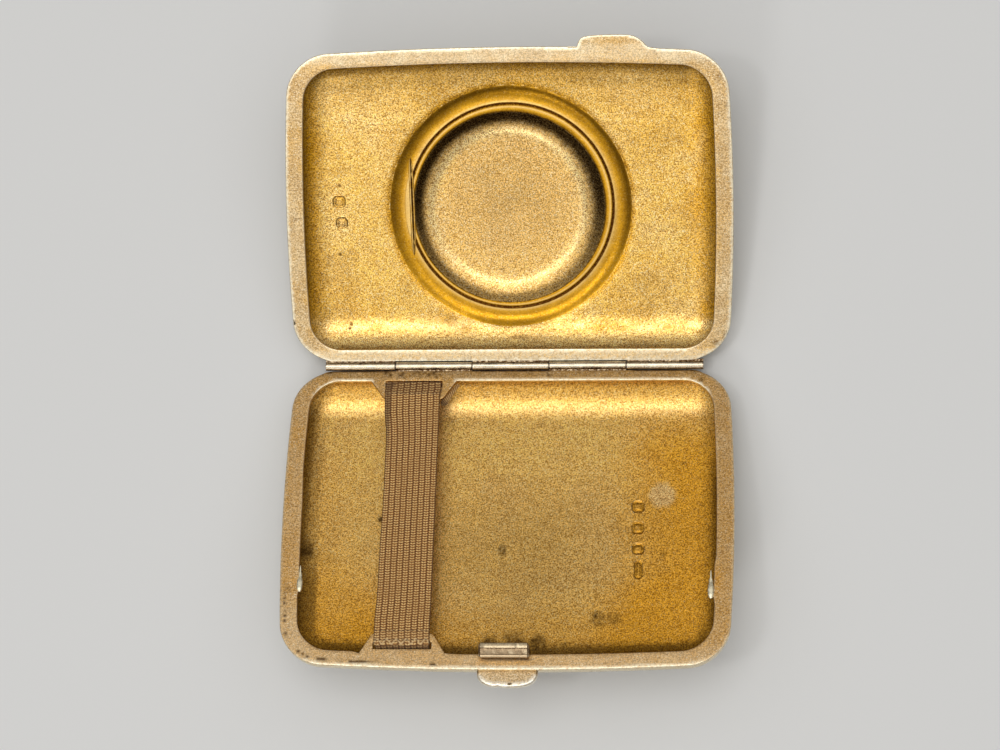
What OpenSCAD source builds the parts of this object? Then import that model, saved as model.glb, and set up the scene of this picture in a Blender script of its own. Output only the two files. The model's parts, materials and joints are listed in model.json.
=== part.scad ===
// Small pocket case for cheroots in gilt silver, shown lying open.
// Two shallow pans are hinged along one long edge and each carries a flat rim frame.
// The base holds an elastic strap and a sprung thumb catch.
// The lid has a round opening in a cove, shut by a small hinged cover.
// X runs along the hinge, the lid lies toward +Y and the base toward -Y.
// Each half is drawn flat with its hinge axis on X, outward along +Y, and then tilted.

/* [Case] */
// Width of each half along the hinge
case_w = 89.4; // [80:0.2:100]
// Distance from the hinge axis to the front edge
case_l = 64; // [56:0.5:72]
// Depth of each half
half_d = 7; // [6.5:0.25:9]
// Corner radius of the outline
corner_r = 8; // [7.2:0.2:10]
// Outward bow of each side edge
side_bow = 1.2; // [0.2:0.1:1.6]
// Outward bow of each front edge
front_bow = 1.4; // [0.2:0.1:2]
// Radius between the walls and the back
edge_r = 6; // [4:0.25:6.25]
// Thickness of the sheet that the pans are raised from
sheet = 0.55; // [0.4:0.05:0.8]
// Gap between the two rims when the case is shut
rim_gap = 0.1; // [0.06:0.02:0.3]
// Angle that the lid turns from open to shut
open_angle = 146; // [130:1:170]

/* [Rim frames] */
// Thickness of both rim frames
bezel_t = 0.7; // [0.5:0.05:0.9]
// Width of the frames at the two sides
bezel_side = 3.5; // [3:0.1:4.5]
// Width of the frames at the front
bezel_front = 3.1; // [2.6:0.1:3.8]
// Width of the lid frame at the hinge side
lid_rear = 2.2; // [1.6:0.1:2.4]
// Width of the base frame at the hinge side
base_rear = 2; // [1.6:0.1:2.2]
// Corner radius of the frame openings
opening_r = 6; // [4:0.25:8]

/* [Main hinge] */
// Outside diameter of the knuckles
tube_d = 1.7; // [1.5:0.05:1.9]
// Diameter of the hinge pin
pin_d = 0.8; // [0.6:0.05:1]
// Distance from the sides of the case to the ends of the hinge
hinge_in = 5.95; // [5:0.05:9]
// How much shorter the left knuckle is than the others
left_trim = 1.3; // [0:0.1:4]
// Place of the middle of the hinge along X
hinge_x = -0.2; // [-0.6:0.1:0.6]
// Gap between neighbouring knuckles
knuckle_gap = 0.12; // [0.08:0.01:0.3]
// Radial clearance of the turning knuckles on the pin
pin_play = 0.03; // [0.02:0.01:0.06]
// Gap between the tube and the edges of the halves
edge_play = 0.35; // [0.3:0.05:0.5]
// Thickness of the leaf that carries each knuckle
leaf_t = 0.6; // [0.4:0.05:0.65]

/* [Strap] */
// Width of the elastic strap
strap_w = 10.8; // [8:0.2:12]
// Thickness of the strap
strap_t = 0.8; // [0.6:0.05:1]
// Place of the strap along X at the hinge side
strap_x = -19.6; // [-24:0.2:-16]
// Shift of the front end of the strap along X
strap_lean = -0.2; // [-2:0.1:2]
// Length of the strap ends that are folded under the tongues
strap_fold = 2.4; // [1.8:0.1:2.8]
// Width of both tongues at the root
tongue_w = 17.2; // [16.8:0.1:19]
// Length of the rear tongue from the frame edge
rear_tongue = 4; // [3.8:0.1:5]
// Length of the front tongue from the frame edge
front_tongue = 4.3; // [4.1:0.1:5]
// Narrowing of a tongue from root to tip, for each side
tongue_taper = 2.75; // [1.8:0.05:2.8]
// Room around the strap in its slots
slot_play = 0.55; // [0.5:0.05:0.65]

/* [Catch] */
// Width of the thumb push
push_w = 11.8; // [10:0.2:14]
// Place of the thumb push along X
push_x = 0.8; // [-3:0.1:3]
// How far the thumb push stands out of the front wall
push_out = 3.2; // [2.6:0.1:4]
// Thickness of the thumb push
push_t = 1.1; // [0.9:0.05:1.3]
// Width of the hook block
hook_w = 9.8; // [8:0.2:11]
// Place of the hook block along X
hook_x = 0.2; // [-0.8:0.1:1.2]
// Height of the hook block over the rim
hook_h = 2.1; // [1.9:0.05:2.4]
// Depth of the hook block under its nose
hook_neck = 1.4; // [1.2:0.05:1.6]
// Reach of the nose over the lid frame
hook_reach = 1; // [0.7:0.05:1.1]
// Thickness of the flat catch spring
spring_t = 0.3; // [0.2:0.05:0.4]
// Height of the flat catch spring
spring_h = 1.5; // [1:0.1:1.7]
// Distance from the outline to the spring
spring_in = 2.2; // [2:0.1:2.4]
// Distance from the hinge axis to the spring ends
spring_end = 44; // [42:0.5:46]
// Sliding gap around the catch parts
catch_play = 0.1; // [0.06:0.01:0.2]
// Length of the keepers that hold the spring ends
keeper_l = 3; // [2:0.2:4]
// Width of the spring keepers
keeper_w = 0.8; // [0.6:0.05:1]

/* [Lid thumb tab] */
// Width of the tab on the lid frame
tab_w = 13.8; // [10:0.2:15]
// Place of the left end of the tab along X
tab_x = 14.1; // [12.5:0.1:16]
// How far the tab stands out
tab_out = 2.5; // [1.8:0.1:3.4]

/* [Round cover] */
// Radius of the round opening that the cover shuts
seat_r = 20.8; // [20:0.1:21.5]
// Place of the round opening along X
cup_x = -0.1; // [-3:0.1:3]
// Distance of the round opening from the hinge axis
cup_v = 31.4; // [30.5:0.1:34]
// Width of the cove around the round opening
cove_w = 3.6; // [3:0.1:4]
// Drop of the cove below the lid floor
cove_drop = 0.8; // [0.4:0.05:1]
// Gap around the cover
cover_gap = 0.2; // [0.15:0.05:0.3]
// Width of the flat flange of the cover
flange_w = 1.1; // [0.8:0.1:1.4]
// Thickness of the cover sheet
cover_t = 0.45; // [0.35:0.05:0.6]
// Depth of the dish below the flange
dish_d = 1.9; // [1.4:0.05:2]
// Radius of the flat floor of the dish
dish_r = 16.5; // [14:0.1:17]
// Length of the hinge of the cover
cover_hinge_len = 19.4; // [14:0.2:20]
// Outside diameter of the knuckles of the cover
cover_tube_d = 1.4; // [1.2:0.05:1.6]
// Diameter of the hinge pin of the cover
cover_pin_d = 0.6; // [0.5:0.05:0.7]
// Width of the nail grip opposite the hinge of the cover
grip_w = 6; // [4:0.5:9]
// How far the nail grip stands out past the seat
grip_out = 1.2; // [0.8:0.1:1.6]

/* [Hidden] */
eps = 0.01;
// Points along each corner arc and each edge of the outline
arc_n = 8;
edge_n = 6;
bend_n = 7;
fine = 64;
// The rims lie half the gap below the hinge axis
rim_z = -rim_gap / 2;
frame_z = rim_z - bezel_t;
rear_v = tube_d / 2 + edge_play;
mid_v = (rear_v + case_l) / 2;
half_v = (case_l - rear_v) / 2;
half_w = case_w / 2;
bend_r = min(edge_r, half_d + frame_z, corner_r - 1);
bend_z = bend_r - half_d;
knuckles = 5;
knuckle_len = (case_w - 2 * hinge_in) / knuckles;
hinge_start = hinge_x - knuckles * knuckle_len / 2;
cove_r = seat_r + cove_w;
front_in = case_l - bezel_front;
push_top = frame_z - 2 * catch_play;
push_low = push_top - push_t;

// Points of a rectangle with round corners, counted from its right rear corner
function outline(w, v0, v1, r) = let(
    h = w / 2,
    c = [[h - r, v0 + r], [h - r, v1 - r], [r - h, v1 - r], [r - h, v0 + r]])
    [for (k = [0:3]) let(a = c[k], b = c[(k + 1) % 4], s = 90 * k - 90,
        p = [a.x + r * cos(s + 90), a.y + r * sin(s + 90)],
        q = [b.x + r * cos(s + 90), b.y + r * sin(s + 90)])
        each concat(
            [for (i = [0:arc_n]) a + r * [cos(s + 90 * i / arc_n), sin(s + 90 * i / arc_n)]],
            [for (i = [1:edge_n]) p + (q - p) * i / (edge_n + 1)])];
// Sides and front bow outward, so the corners are drawn in
function bowed(p) = [
    p.x * (1 - side_bow / half_w * pow((p.y - mid_v) / half_v, 2)),
    p.y - front_bow * pow(p.x / half_w, 2) * (p.y - rear_v) / (2 * half_v)];
function case_outline(inset) = [for (p = outline(case_w - 2 * inset, rear_v + inset,
    case_l - inset, max(corner_r - inset, 0.5))) bowed(p)];
function frame_opening(rear) = [for (p = outline(case_w - 2 * bezel_side, rear_v + rear,
    front_in, opening_r)) bowed(p)];
function ring(inset, z) = [for (p = case_outline(inset)) [p.x, p.y, z]];
function front_v(x) = bowed([x, case_l]).y;

// Stance: both halves rest on the turn of the back, or the lid on its round cover
function tilt_z(v, z, a) = v * sin(a) + z * cos(a);
function bend_pts() = [for (i = [0:bend_n]) let(a = 90 * i / bend_n)
    [rear_v + bend_r * (1 - cos(a)), bend_z - bend_r * sin(a)]];
function low_half(a) = min([for (p = bend_pts()) tilt_z(p.x, p.y, a)]);
gap_angle = 180 - open_angle;
floor_z = sheet - half_d;
flange_z = floor_z - cove_drop;
dish_out_r = dish_r - 0.7;
dish_bottom = flange_z - dish_d - cover_t;
function low_lid(a) = min(low_half(a), tilt_z(cup_v - dish_out_r, dish_bottom, a));
function stance(lo, hi, n) = let(m = (lo + hi) / 2) n == 0 ? m
    : low_lid(m) < low_half(gap_angle - m) ? stance(m, hi, n - 1) : stance(lo, m, n - 1);
// With both halves alike the stance is even, and it leans only if the cover stands lower
even = gap_angle / 2;
lid_tilt = low_lid(even) < low_half(even) - eps ? stance(even, gap_angle, 24) : even;
base_tilt = gap_angle - lid_tilt;
axis_z = -min(low_lid(lid_tilt), low_half(base_tilt));
// The origin lies under the middle of the whole length, thumb push and thumb tab included
function far_half(a) = max([for (p = bend_pts()) (case_l + rear_v - p.x) * cos(a) - p.y * sin(a)]);
push_reach = (case_l + push_out) * cos(base_tilt) - push_low * sin(base_tilt);
tab_reach = (front_v(tab_x + tab_w / 2) + tab_out) * cos(lid_tilt) - frame_z * sin(lid_tilt);
axis_y = (push_reach - max(tab_reach, far_half(lid_tilt))) / 2;

module on_base() {
    translate([0, axis_y, axis_z]) rotate([-base_tilt, 0, 0]) mirror([0, 1, 0]) children();
}

module on_lid() {
    translate([0, axis_y, axis_z]) rotate([lid_tilt, 0, 0]) children();
}

module on_cover() {
    on_lid() translate([cup_x, cup_v, 0]) children();
}

// One pan: outer face down from the rim, across the back, and the inner face back up
module pan() {
    outer = [for (i = [bend_n:-1:0]) let(a = 90 * i / bend_n)
        ring(bend_r * (1 - cos(a)), bend_z - bend_r * sin(a))];
    inner = [for (i = [0:bend_n]) let(a = 90 * i / bend_n, r = bend_r - sheet)
        ring(sheet + r * (1 - cos(a)), bend_z - r * sin(a))];
    rims = bend_z < frame_z - eps ? [ring(0, frame_z), ring(sheet, frame_z)] : [];
    rings = concat(outer, rims, inner);
    n = len(rings[0]);
    m = len(rings);
    sides = [for (k = [0:m - 2], i = [0:n - 1]) let(j = (i + 1) % n)
        each [[k * n + i, (k + 1) * n + i, (k + 1) * n + j],
            [k * n + i, (k + 1) * n + j, k * n + j]]];
    polyhedron(points = [for (r = rings) each r],
        faces = concat(sides, [[for (i = [0:n - 1]) i]],
            [[for (i = [n - 1:-1:0]) (m - 1) * n + i]]));
}

module frame_plate(rear) {
    difference() {
        polygon(case_outline(0));
        polygon(frame_opening(rear));
    }
}

// Knuckle i counts from the left, and its leaf reaches its own half
module knuckle(i, bore) {
    trim = i == 0 ? left_trim : 0;
    x0 = hinge_start + i * knuckle_len + trim + knuckle_gap / 2;
    long = knuckle_len - trim - knuckle_gap;
    difference() {
        union() {
            translate([x0, 0, 0]) rotate([0, 90, 0]) cylinder(h = long, d = tube_d, $fn = fine);
            translate([x0, 0, rim_z - leaf_t]) cube([long, rear_v, leaf_t]);
        }
        translate([x0 - 1, 0, 0]) rotate([0, 90, 0]) cylinder(h = long + 2, d = bore, $fn = fine);
    }
}

module base_shell() {
    color("darkgoldenrod") on_base() difference() {
        pan();
        // Opening in the front wall that the thumb push slides through
        translate([push_x - push_w / 2 - catch_play, case_l - 3, push_low - catch_play])
            cube([push_w + 2 * catch_play, 6, half_d]);
    }
}

module lid_shell() {
    color("goldenrod") on_lid() difference() {
        pan();
        translate([cup_x, cup_v, -half_d - 1]) cylinder(h = half_d, r = cove_r, $fn = 128);
    }
}

// Tongue outline from root v0 to tip v1, about its middle x
module tongue(x, v0, v1) {
    polygon([[x - tongue_w / 2, v0], [x + tongue_w / 2, v0],
        [x + tongue_w / 2 - tongue_taper, v1], [x - tongue_w / 2 + tongue_taper, v1]]);
}

rear_in = rear_v + base_rear;
front_x = strap_x + strap_lean;
slot_w = strap_w + slot_play;
slot_l = strap_t + slot_play;
rear_slot = rear_in;
// Metal left between the front slot and the edge of the frame
slot_land = 1.1;
front_slot = front_in - slot_land - slot_l;

module frame_slab() {
    translate([0, 0, frame_z]) linear_extrude(bezel_t) children();
}

module base_rim_frame() {
    color("tan") on_base() difference() {
        union() {
            frame_slab() frame_plate(base_rear);
            frame_slab() tongue(strap_x, rear_in - 0.5, rear_in + rear_tongue);
            frame_slab() tongue(front_x, front_in + 0.5, front_in - front_tongue);
        }
        translate([strap_x - slot_w / 2, rear_slot, frame_z - 1]) cube([slot_w, slot_l, 3]);
        translate([front_x - slot_w / 2, front_slot, frame_z - 1]) cube([slot_w, slot_l, 3]);
    }
}

// The thumb tab is one piece with the lid frame, steep at its left end
module thumb_tab() {
    v = front_v(tab_x + tab_w / 2);
    polygon([[tab_x - 0.3, v - 1.2], [tab_x, v], [tab_x + 0.5, v + 0.62 * tab_out],
        [tab_x + 0.11 * tab_w, v + 0.86 * tab_out], [tab_x + 0.22 * tab_w, v + 0.96 * tab_out],
        [tab_x + 0.45 * tab_w, v + tab_out], [tab_x + 0.74 * tab_w, v + 0.98 * tab_out],
        [tab_x + 0.86 * tab_w, v + 0.78 * tab_out], [tab_x + 0.97 * tab_w, v + 0.28 * tab_out],
        [tab_x + tab_w + 0.3, v - 1.2]]);
}

module lid_rim_frame() {
    color("wheat") on_lid() union() {
        frame_slab() frame_plate(lid_rear);
        frame_slab() thumb_tab();
    }
}

module base_knuckle_left() {
    color("silver") on_base() knuckle(1, pin_d);
}

module base_knuckle_right() {
    color("silver") on_base() knuckle(3, pin_d);
}

module lid_knuckle_left() {
    color("silver") on_lid() knuckle(0, pin_d + 2 * pin_play);
}

module lid_knuckle_middle() {
    color("silver") on_lid() knuckle(2, pin_d + 2 * pin_play);
}

module lid_knuckle_right() {
    color("silver") on_lid() knuckle(4, pin_d + 2 * pin_play);
}

module hinge_pin() {
    color("gray") on_base() translate([hinge_start + left_trim, 0, 0]) rotate([0, 90, 0])
        cylinder(h = knuckles * knuckle_len - left_trim, d = pin_d, $fn = fine);
}

// The strap comes up through one slot, over both tongues and down through the other
module elastic_strap() {
    low = frame_z - 0.1;
    foot = low - strap_t;
    top = strap_t;
    r0 = rear_slot + slot_play / 2;
    f0 = front_slot + slot_l - slot_play / 2;
    turn = atan2(-strap_lean, front_slot - rear_slot);
    color("saddlebrown") on_base() translate([strap_x, rear_slot, 0]) rotate([0, 0, turn])
        translate([0, -rear_slot, 0]) rotate([90, 0, 90]) translate([0, 0, -strap_w / 2])
        linear_extrude(strap_w) polygon([
            [r0, foot], [r0 + strap_t + strap_fold, foot], [r0 + strap_t + strap_fold, low],
            [r0 + strap_t, low], [r0 + strap_t, rim_z - 0.35], [r0 + strap_t + 0.2, 0],
            [f0 - strap_t, 0], [f0 - strap_t, low],
            [f0 - strap_t - strap_fold, low], [f0 - strap_t - strap_fold, foot],
            [f0, foot], [f0, 0.2], [f0 - 0.45, top],
            [r0 + 1.5, top], [r0 + 0.75, 0.05], [r0, rim_z - 0.35]]);
}

// The hook block stands clear of the frame, and its nose reaches over the lid frame
hook_room = 0.3;
hook_front = front_in - hook_room;
hook_back = hook_front - hook_neck;

// The thumb push is a flat slide under the rim frame with a rounded end outside
module thumb_push() {
    w = push_w / 2;
    v1 = case_l + 0.2;
    color("wheat") on_base() translate([push_x, 0, push_low]) linear_extrude(push_t) polygon(concat(
        [[-w, hook_back], [w, hook_back]],
        [for (i = [0:16]) let(a = 180 * i / 16)
            [w * sign(cos(a)) * pow(abs(cos(a)), 0.7), v1 + (push_out - 0.2) * pow(sin(a), 0.8)]]));
}

module catch_hook() {
    lip_z = rim_gap / 2 + bezel_t + catch_play;
    nose_v = front_in + hook_reach;
    color("wheat") on_base() translate([hook_x - hook_w / 2, 0, 0]) rotate([90, 0, 90])
        linear_extrude(hook_w) polygon([
            [hook_back, push_top], [hook_front, push_top], [hook_front, lip_z], [nose_v, lip_z],
            [nose_v, lip_z + 0.3], [nose_v - 0.4, lip_z + 0.5], [hook_back + 1.1, hook_h],
            [hook_back, hook_h]]);
}

module spring_path(inset) {
    polygon([for (p = outline(case_w - 2 * inset, rear_v + inset, case_l - inset,
        corner_r - inset)) bowed(p)]);
}

// The flat spring runs inside the front wall and back along both sides
module catch_spring() {
    color("gainsboro") on_base() translate([0, 0, push_low - spring_h]) linear_extrude(spring_h)
        difference() {
            spring_path(spring_in);
            spring_path(spring_in + spring_t);
            translate([-case_w, -case_l]) square([2 * case_w, case_l + spring_end]);
        }
}

// A keeper hangs from the rim frame just inside each end of the spring
module keeper(side) {
    v = spring_end + 0.6;
    // The spring leans in toward its end, so the keeper stands a little further in
    lean = 0.25;
    edge = bowed([half_w - spring_in - spring_t, v]).x;
    x = side * (edge - catch_play - keeper_w / 2 - lean);
    low = push_low - spring_h;
    translate([x, v, low]) union() {
        translate([0, keeper_w / 2, 0]) cylinder(h = frame_z - low, d = keeper_w, $fn = 32);
        translate([-keeper_w / 2, keeper_w / 2, 0]) cube([keeper_w, keeper_l - keeper_w, frame_z - low]);
        translate([0, keeper_l - keeper_w / 2, 0]) cylinder(h = frame_z - low, d = keeper_w, $fn = 32);
    }
}

module spring_keeper_left() {
    color("gainsboro") on_base() keeper(-1);
}

module spring_keeper_right() {
    color("gainsboro") on_base() keeper(1);
}

// The cove is a ring let into the lid floor, and it ends in the seat of the cover
seat_low = flange_z - cover_t - 0.3;

module ring_profile() {
    t = sheet;
    w = cove_w;
    polygon([[cove_r, -half_d], [cove_r, floor_z], [cove_r - w / 6, floor_z - 0.1 * cove_drop],
        [cove_r - 0.44 * w, floor_z - 0.62 * cove_drop], [seat_r + 0.2 * w, flange_z + 0.02],
        [seat_r, flange_z], [seat_r, seat_low], [seat_r + t, seat_low],
        [cove_r - 0.4 * w, -half_d - 0.3]]);
}

module cover_seat_ring() {
    color("goldenrod") on_cover() rotate_extrude($fn = 128) ring_profile();
}

// Hinge of the cover: its axis lies outside the seat, on the back of the lid
cover_axis_x = -seat_r + 0.1;
cover_axis_z = seat_low - cover_tube_d / 2 - 0.05;
cover_knuckle_len = cover_hinge_len / 4;

module cover_ear(y0) {
    difference() {
        union() {
            translate([cover_axis_x, y0, cover_axis_z]) rotate([-90, 0, 0])
                cylinder(h = cover_knuckle_len, d = cover_tube_d, $fn = fine);
            translate([cover_axis_x - cover_tube_d / 2, y0, cover_axis_z])
                cube([cover_tube_d, cover_knuckle_len, flange_z - cover_axis_z]);
        }
        translate([cover_axis_x, y0 - 1, cover_axis_z]) rotate([-90, 0, 0])
            cylinder(h = cover_knuckle_len + 2, d = cover_pin_d, $fn = fine);
        translate([0, 0, seat_low]) cylinder(h = half_d, r = seat_r + 0.1, $fn = 128);
        rotate_extrude($fn = 128) ring_profile();
    }
}

module cover_ear_front() {
    color("silver") on_cover() cover_ear(cover_knuckle_len + knuckle_gap);
}

module cover_ear_rear() {
    color("silver") on_cover() cover_ear(-2 * cover_knuckle_len - knuckle_gap);
}

cover_r = seat_r - cover_gap;
mouth_r = cover_r - flange_w;
cut_x = cover_axis_x + cover_tube_d / 2 + 0.1;

module cover_profile() {
    t = cover_t;
    bottom = flange_z - dish_d;
    polygon([[0, bottom], [dish_r - 0.6, bottom], [dish_r + 0.1, bottom + 0.1],
        [mouth_r - 0.7, flange_z - 0.5], [mouth_r - 0.15, flange_z - 0.12], [mouth_r, flange_z],
        [cover_r, flange_z], [cover_r, flange_z - t], [mouth_r + 0.1, flange_z - t],
        [dish_r + 0.3, bottom - 0.75 * t], [dish_out_r, bottom - t], [0, bottom - t]]);
}

module round_cover() {
    color("darkkhaki") on_cover() difference() {
        union() {
            rotate_extrude($fn = 128) cover_profile();
            // Nail grip under the seat ring, opposite the hinge
            intersection() {
                translate([mouth_r - 0.5, -grip_w / 2, seat_low - 0.5])
                    cube([seat_r - mouth_r + 0.5 + grip_out, grip_w, 0.4]);
                cylinder(h = 4 * half_d, r = seat_r + grip_out, center = true, $fn = 128);
            }
            translate([mouth_r - 0.5, -grip_w / 2, seat_low - 0.5])
                cube([cover_r - 0.3 - mouth_r + 0.5, grip_w, flange_z - cover_t / 2 - seat_low + 0.5]);
        }
        // Straight edge beside the hinge
        translate([-seat_r - 2, -seat_r, flange_z - cover_t - 0.2])
            cube([seat_r + 2 + cut_x, 2 * seat_r, half_d]);
    }
}

// The middle knuckle reaches the cover with a short leaf
module cover_knuckle() {
    long = 2 * cover_knuckle_len;
    color("silver") on_cover() difference() {
        union() {
            translate([cover_axis_x, -long / 2, cover_axis_z]) rotate([-90, 0, 0])
                cylinder(h = long, d = cover_tube_d, $fn = fine);
            translate([cover_axis_x, -long / 2, cover_axis_z + 0.1])
                cube([mouth_r - dish_r + 1.2, long, cover_tube_d / 2 - 0.1]);
        }
        translate([cover_axis_x, -long / 2 - 1, cover_axis_z]) rotate([-90, 0, 0])
            cylinder(h = long + 2, d = cover_pin_d + 2 * pin_play, $fn = fine);
        rotate_extrude($fn = 128) cover_profile_filled();
    }
}

module cover_profile_filled() {
    bottom = flange_z - dish_d;
    polygon([[0, flange_z], [cover_r, flange_z], [cover_r, flange_z - cover_t],
        [mouth_r + 0.1, flange_z - cover_t], [dish_r + 0.3, bottom - 0.75 * cover_t],
        [dish_out_r, bottom - cover_t], [0, bottom - cover_t]]);
}

module cover_pin() {
    color("gray") on_cover() translate([cover_axis_x, -cover_hinge_len / 2 - knuckle_gap, cover_axis_z])
        rotate([-90, 0, 0])
        cylinder(h = cover_hinge_len + 2 * knuckle_gap, d = cover_pin_d, $fn = fine);
}

// Places of the joints
echo(axis_y = axis_y, axis_z = axis_z, lid_tilt = lid_tilt, base_tilt = base_tilt,
    catch_travel = hook_reach + hook_room,
    cover_axis = [cover_axis_x + cup_x, cup_v, cover_axis_z]);

base_shell();
base_rim_frame();
base_knuckle_left();
base_knuckle_right();
hinge_pin();
elastic_strap();
spring_keeper_left();
spring_keeper_right();
thumb_push();
catch_hook();
catch_spring();
lid_shell();
lid_rim_frame();
lid_knuckle_left();
lid_knuckle_middle();
lid_knuckle_right();
cover_seat_ring();
cover_ear_front();
cover_ear_rear();
round_cover();
cover_knuckle();
cover_pin();
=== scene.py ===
import json
import math

import bmesh
import bpy
import numpy as np
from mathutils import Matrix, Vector, noise
from mathutils.geometry import delaunay_2d_cdt


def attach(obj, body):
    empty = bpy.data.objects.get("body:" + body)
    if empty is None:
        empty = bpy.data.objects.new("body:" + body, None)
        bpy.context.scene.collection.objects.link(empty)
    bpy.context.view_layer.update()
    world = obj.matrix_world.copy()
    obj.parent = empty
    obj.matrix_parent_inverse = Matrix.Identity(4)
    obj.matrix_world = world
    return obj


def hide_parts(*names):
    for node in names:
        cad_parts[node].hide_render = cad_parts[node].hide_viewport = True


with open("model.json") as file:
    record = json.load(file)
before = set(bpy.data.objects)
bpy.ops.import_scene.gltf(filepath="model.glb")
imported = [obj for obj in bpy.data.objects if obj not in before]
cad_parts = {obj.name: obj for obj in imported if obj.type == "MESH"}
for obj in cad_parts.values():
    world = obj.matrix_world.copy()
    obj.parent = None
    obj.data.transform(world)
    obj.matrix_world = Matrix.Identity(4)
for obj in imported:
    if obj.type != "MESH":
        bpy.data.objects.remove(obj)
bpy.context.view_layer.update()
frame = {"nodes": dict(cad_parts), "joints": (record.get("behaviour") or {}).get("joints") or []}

# The view
# The case stands open like a shallow V on its hinge side, and is seen from above.
# The camera looks nearly straight down on it, a little from the right and the front.

scene = bpy.context.scene
scene.view_settings.view_transform = "Standard"
lens = bpy.data.cameras.new("camera")
lens.sensor_width = 36
lens.lens = 117.82
camera = bpy.data.objects.new("camera", lens)
scene.collection.objects.link(camera)
camera.location = (0.05196, -0.07351, 0.65638)
camera.rotation_euler = (math.radians(6.335), math.radians(4.735), math.radians(0.269))
scene.camera = camera

# The studio
# A wide pale table, a broad soft lamp overhead, a smaller one to the left of it and a low one
# in front. The room is dimmer low down than overhead, so that bright metal shows its form.


def feed(tree, socket, value):
    """Link a value to a socket, or set it there. A colour is given as three numbers."""
    if isinstance(value, bpy.types.NodeSocket):
        tree.links.new(value, socket)
    elif isinstance(value, tuple) and socket.type == "RGBA":
        socket.default_value = (*value, 1)
    else:
        socket.default_value = value


def add_node(tree, kind, **inputs):
    """A shader node with its inputs fed. n0 is its first input, any other key is an input's name."""
    made = tree.nodes.new(kind)
    for key, value in inputs.items():
        numbered = key[0] == "n" and key[1:].isdigit()
        feed(tree, made.inputs[int(key[1:]) if numbered else key.replace("_", " ")], value)
    return made


room = bpy.data.worlds.new("room")
room.use_nodes = True
room.node_tree.nodes.clear()
heading = add_node(room.node_tree, "ShaderNodeTexCoord")
split = add_node(room.node_tree, "ShaderNodeSeparateXYZ", Vector=heading.outputs["Generated"])
height = add_node(room.node_tree, "ShaderNodeValToRGB", Fac=split.outputs["Z"])
for rise, level in ((0.28, 0.08), (0.52, 0.26), (0.72, 0.62)):
    height.color_ramp.elements.new(rise).color = (level, level * 0.99, level * 0.97, 1)
height.color_ramp.elements[0].color = (0.04, 0.04, 0.04, 1)
height.color_ramp.elements[-1].color = (0.74, 0.73, 0.72, 1)
glow = add_node(room.node_tree, "ShaderNodeBackground", Color=height.outputs["Color"], Strength=1.0)
sky = add_node(room.node_tree, "ShaderNodeOutputWorld")
room.node_tree.links.new(glow.outputs["Background"], sky.inputs["Surface"])
scene.world = room


def hang_lamp(name, place, size, power):
    light = bpy.data.lights.new(name, "AREA")
    light.shape = "DISK"
    light.size = size
    light.energy = power
    holder = bpy.data.objects.new(name, light)
    holder.location = place
    holder.rotation_euler = (Vector((0, 0, 0)) - Vector(place)).to_track_quat("-Z", "Y").to_euler()
    scene.collection.objects.link(holder)


hang_lamp("broad_lamp", (-0.03, 0.10, 1.5), 0.82, 4.3)
hang_lamp("small_lamp", (-0.42, -0.16, 1.35), 0.18, 1.3)
hang_lamp("low_lamp", (-0.28, -0.88, 0.74), 0.26, 1.25)

table_top = bpy.data.meshes.new("table_top")
table_half = 8
table_corners = [(-table_half, -table_half, 0), (table_half, -table_half, 0),
                 (table_half, table_half, 0), (-table_half, table_half, 0)]
table_top.from_pydata(table_corners, [], [(0, 1, 2, 3)])
pale = bpy.data.materials.new("pale_table")
pale.use_nodes = True
paper = pale.node_tree.nodes["Principled BSDF"]
paper.inputs["Base Color"].default_value = (0.80, 0.80, 0.79, 1)
paper.inputs["Roughness"].default_value = 0.9
table_top.materials.append(pale)
table = bpy.data.objects.new("table_top", table_top)
scene.collection.objects.link(table)

# Stance
# Each half is worked flat, in millimetres: x along the hinge, v out from the hinge pin and
# z up from it. The hinge pin and the slope of both halves come from the joints.

joints = {j["name"]: j for j in frame["joints"]}
pin_y, pin_z = [1000 * c for c in joints["lid_hinge"]["pos_m"][1:]]
base_slope = math.asin(-joints["catch_slide"]["axis"][2])
lid_slope = math.asin(joints["cover_hinge"]["axis"][2])


def in_base(x, v, z):
    """Where a place on the base lies in the frame, in metres."""
    c, s = math.cos(base_slope), math.sin(base_slope)
    return x / 1000, (pin_y - v * c + z * s) / 1000, (pin_z + v * s + z * c) / 1000


def in_lid(x, v, z):
    """The same for the lid."""
    c, s = math.cos(lid_slope), math.sin(lid_slope)
    return x / 1000, (pin_y + v * c - z * s) / 1000, (pin_z + v * s + z * c) / 1000


# Base pan
# A shallow pan raised from one sheet of silver, gilt and frosted inside, plain outside.
# The thumb push passes through its front wall. Blank punches are struck in the floor.

case_w, case_l, half_d = 89.4, 64.0, 7.0
corner_r, side_bow, front_bow = 8.0, 1.2, 1.4
sheet, bend_r, bend_z = 0.55, 6.0, -1.0
rim_z, frame_z, rear_v, floor_z = -0.05, -0.75, 1.2, -6.45
mid_v, half_v, half_w = (rear_v + case_l) / 2, (case_l - rear_v) / 2, case_w / 2


def bowed(p):
    """The sides of each half draw in a little toward both ends, and its front edge is a shallow curve."""
    x, v = p
    return (x * (1 - side_bow / half_w * ((v - mid_v) / half_v) ** 2),
            v - front_bow * (x / half_w) ** 2 * (v - rear_v) / (2 * half_v))


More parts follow.
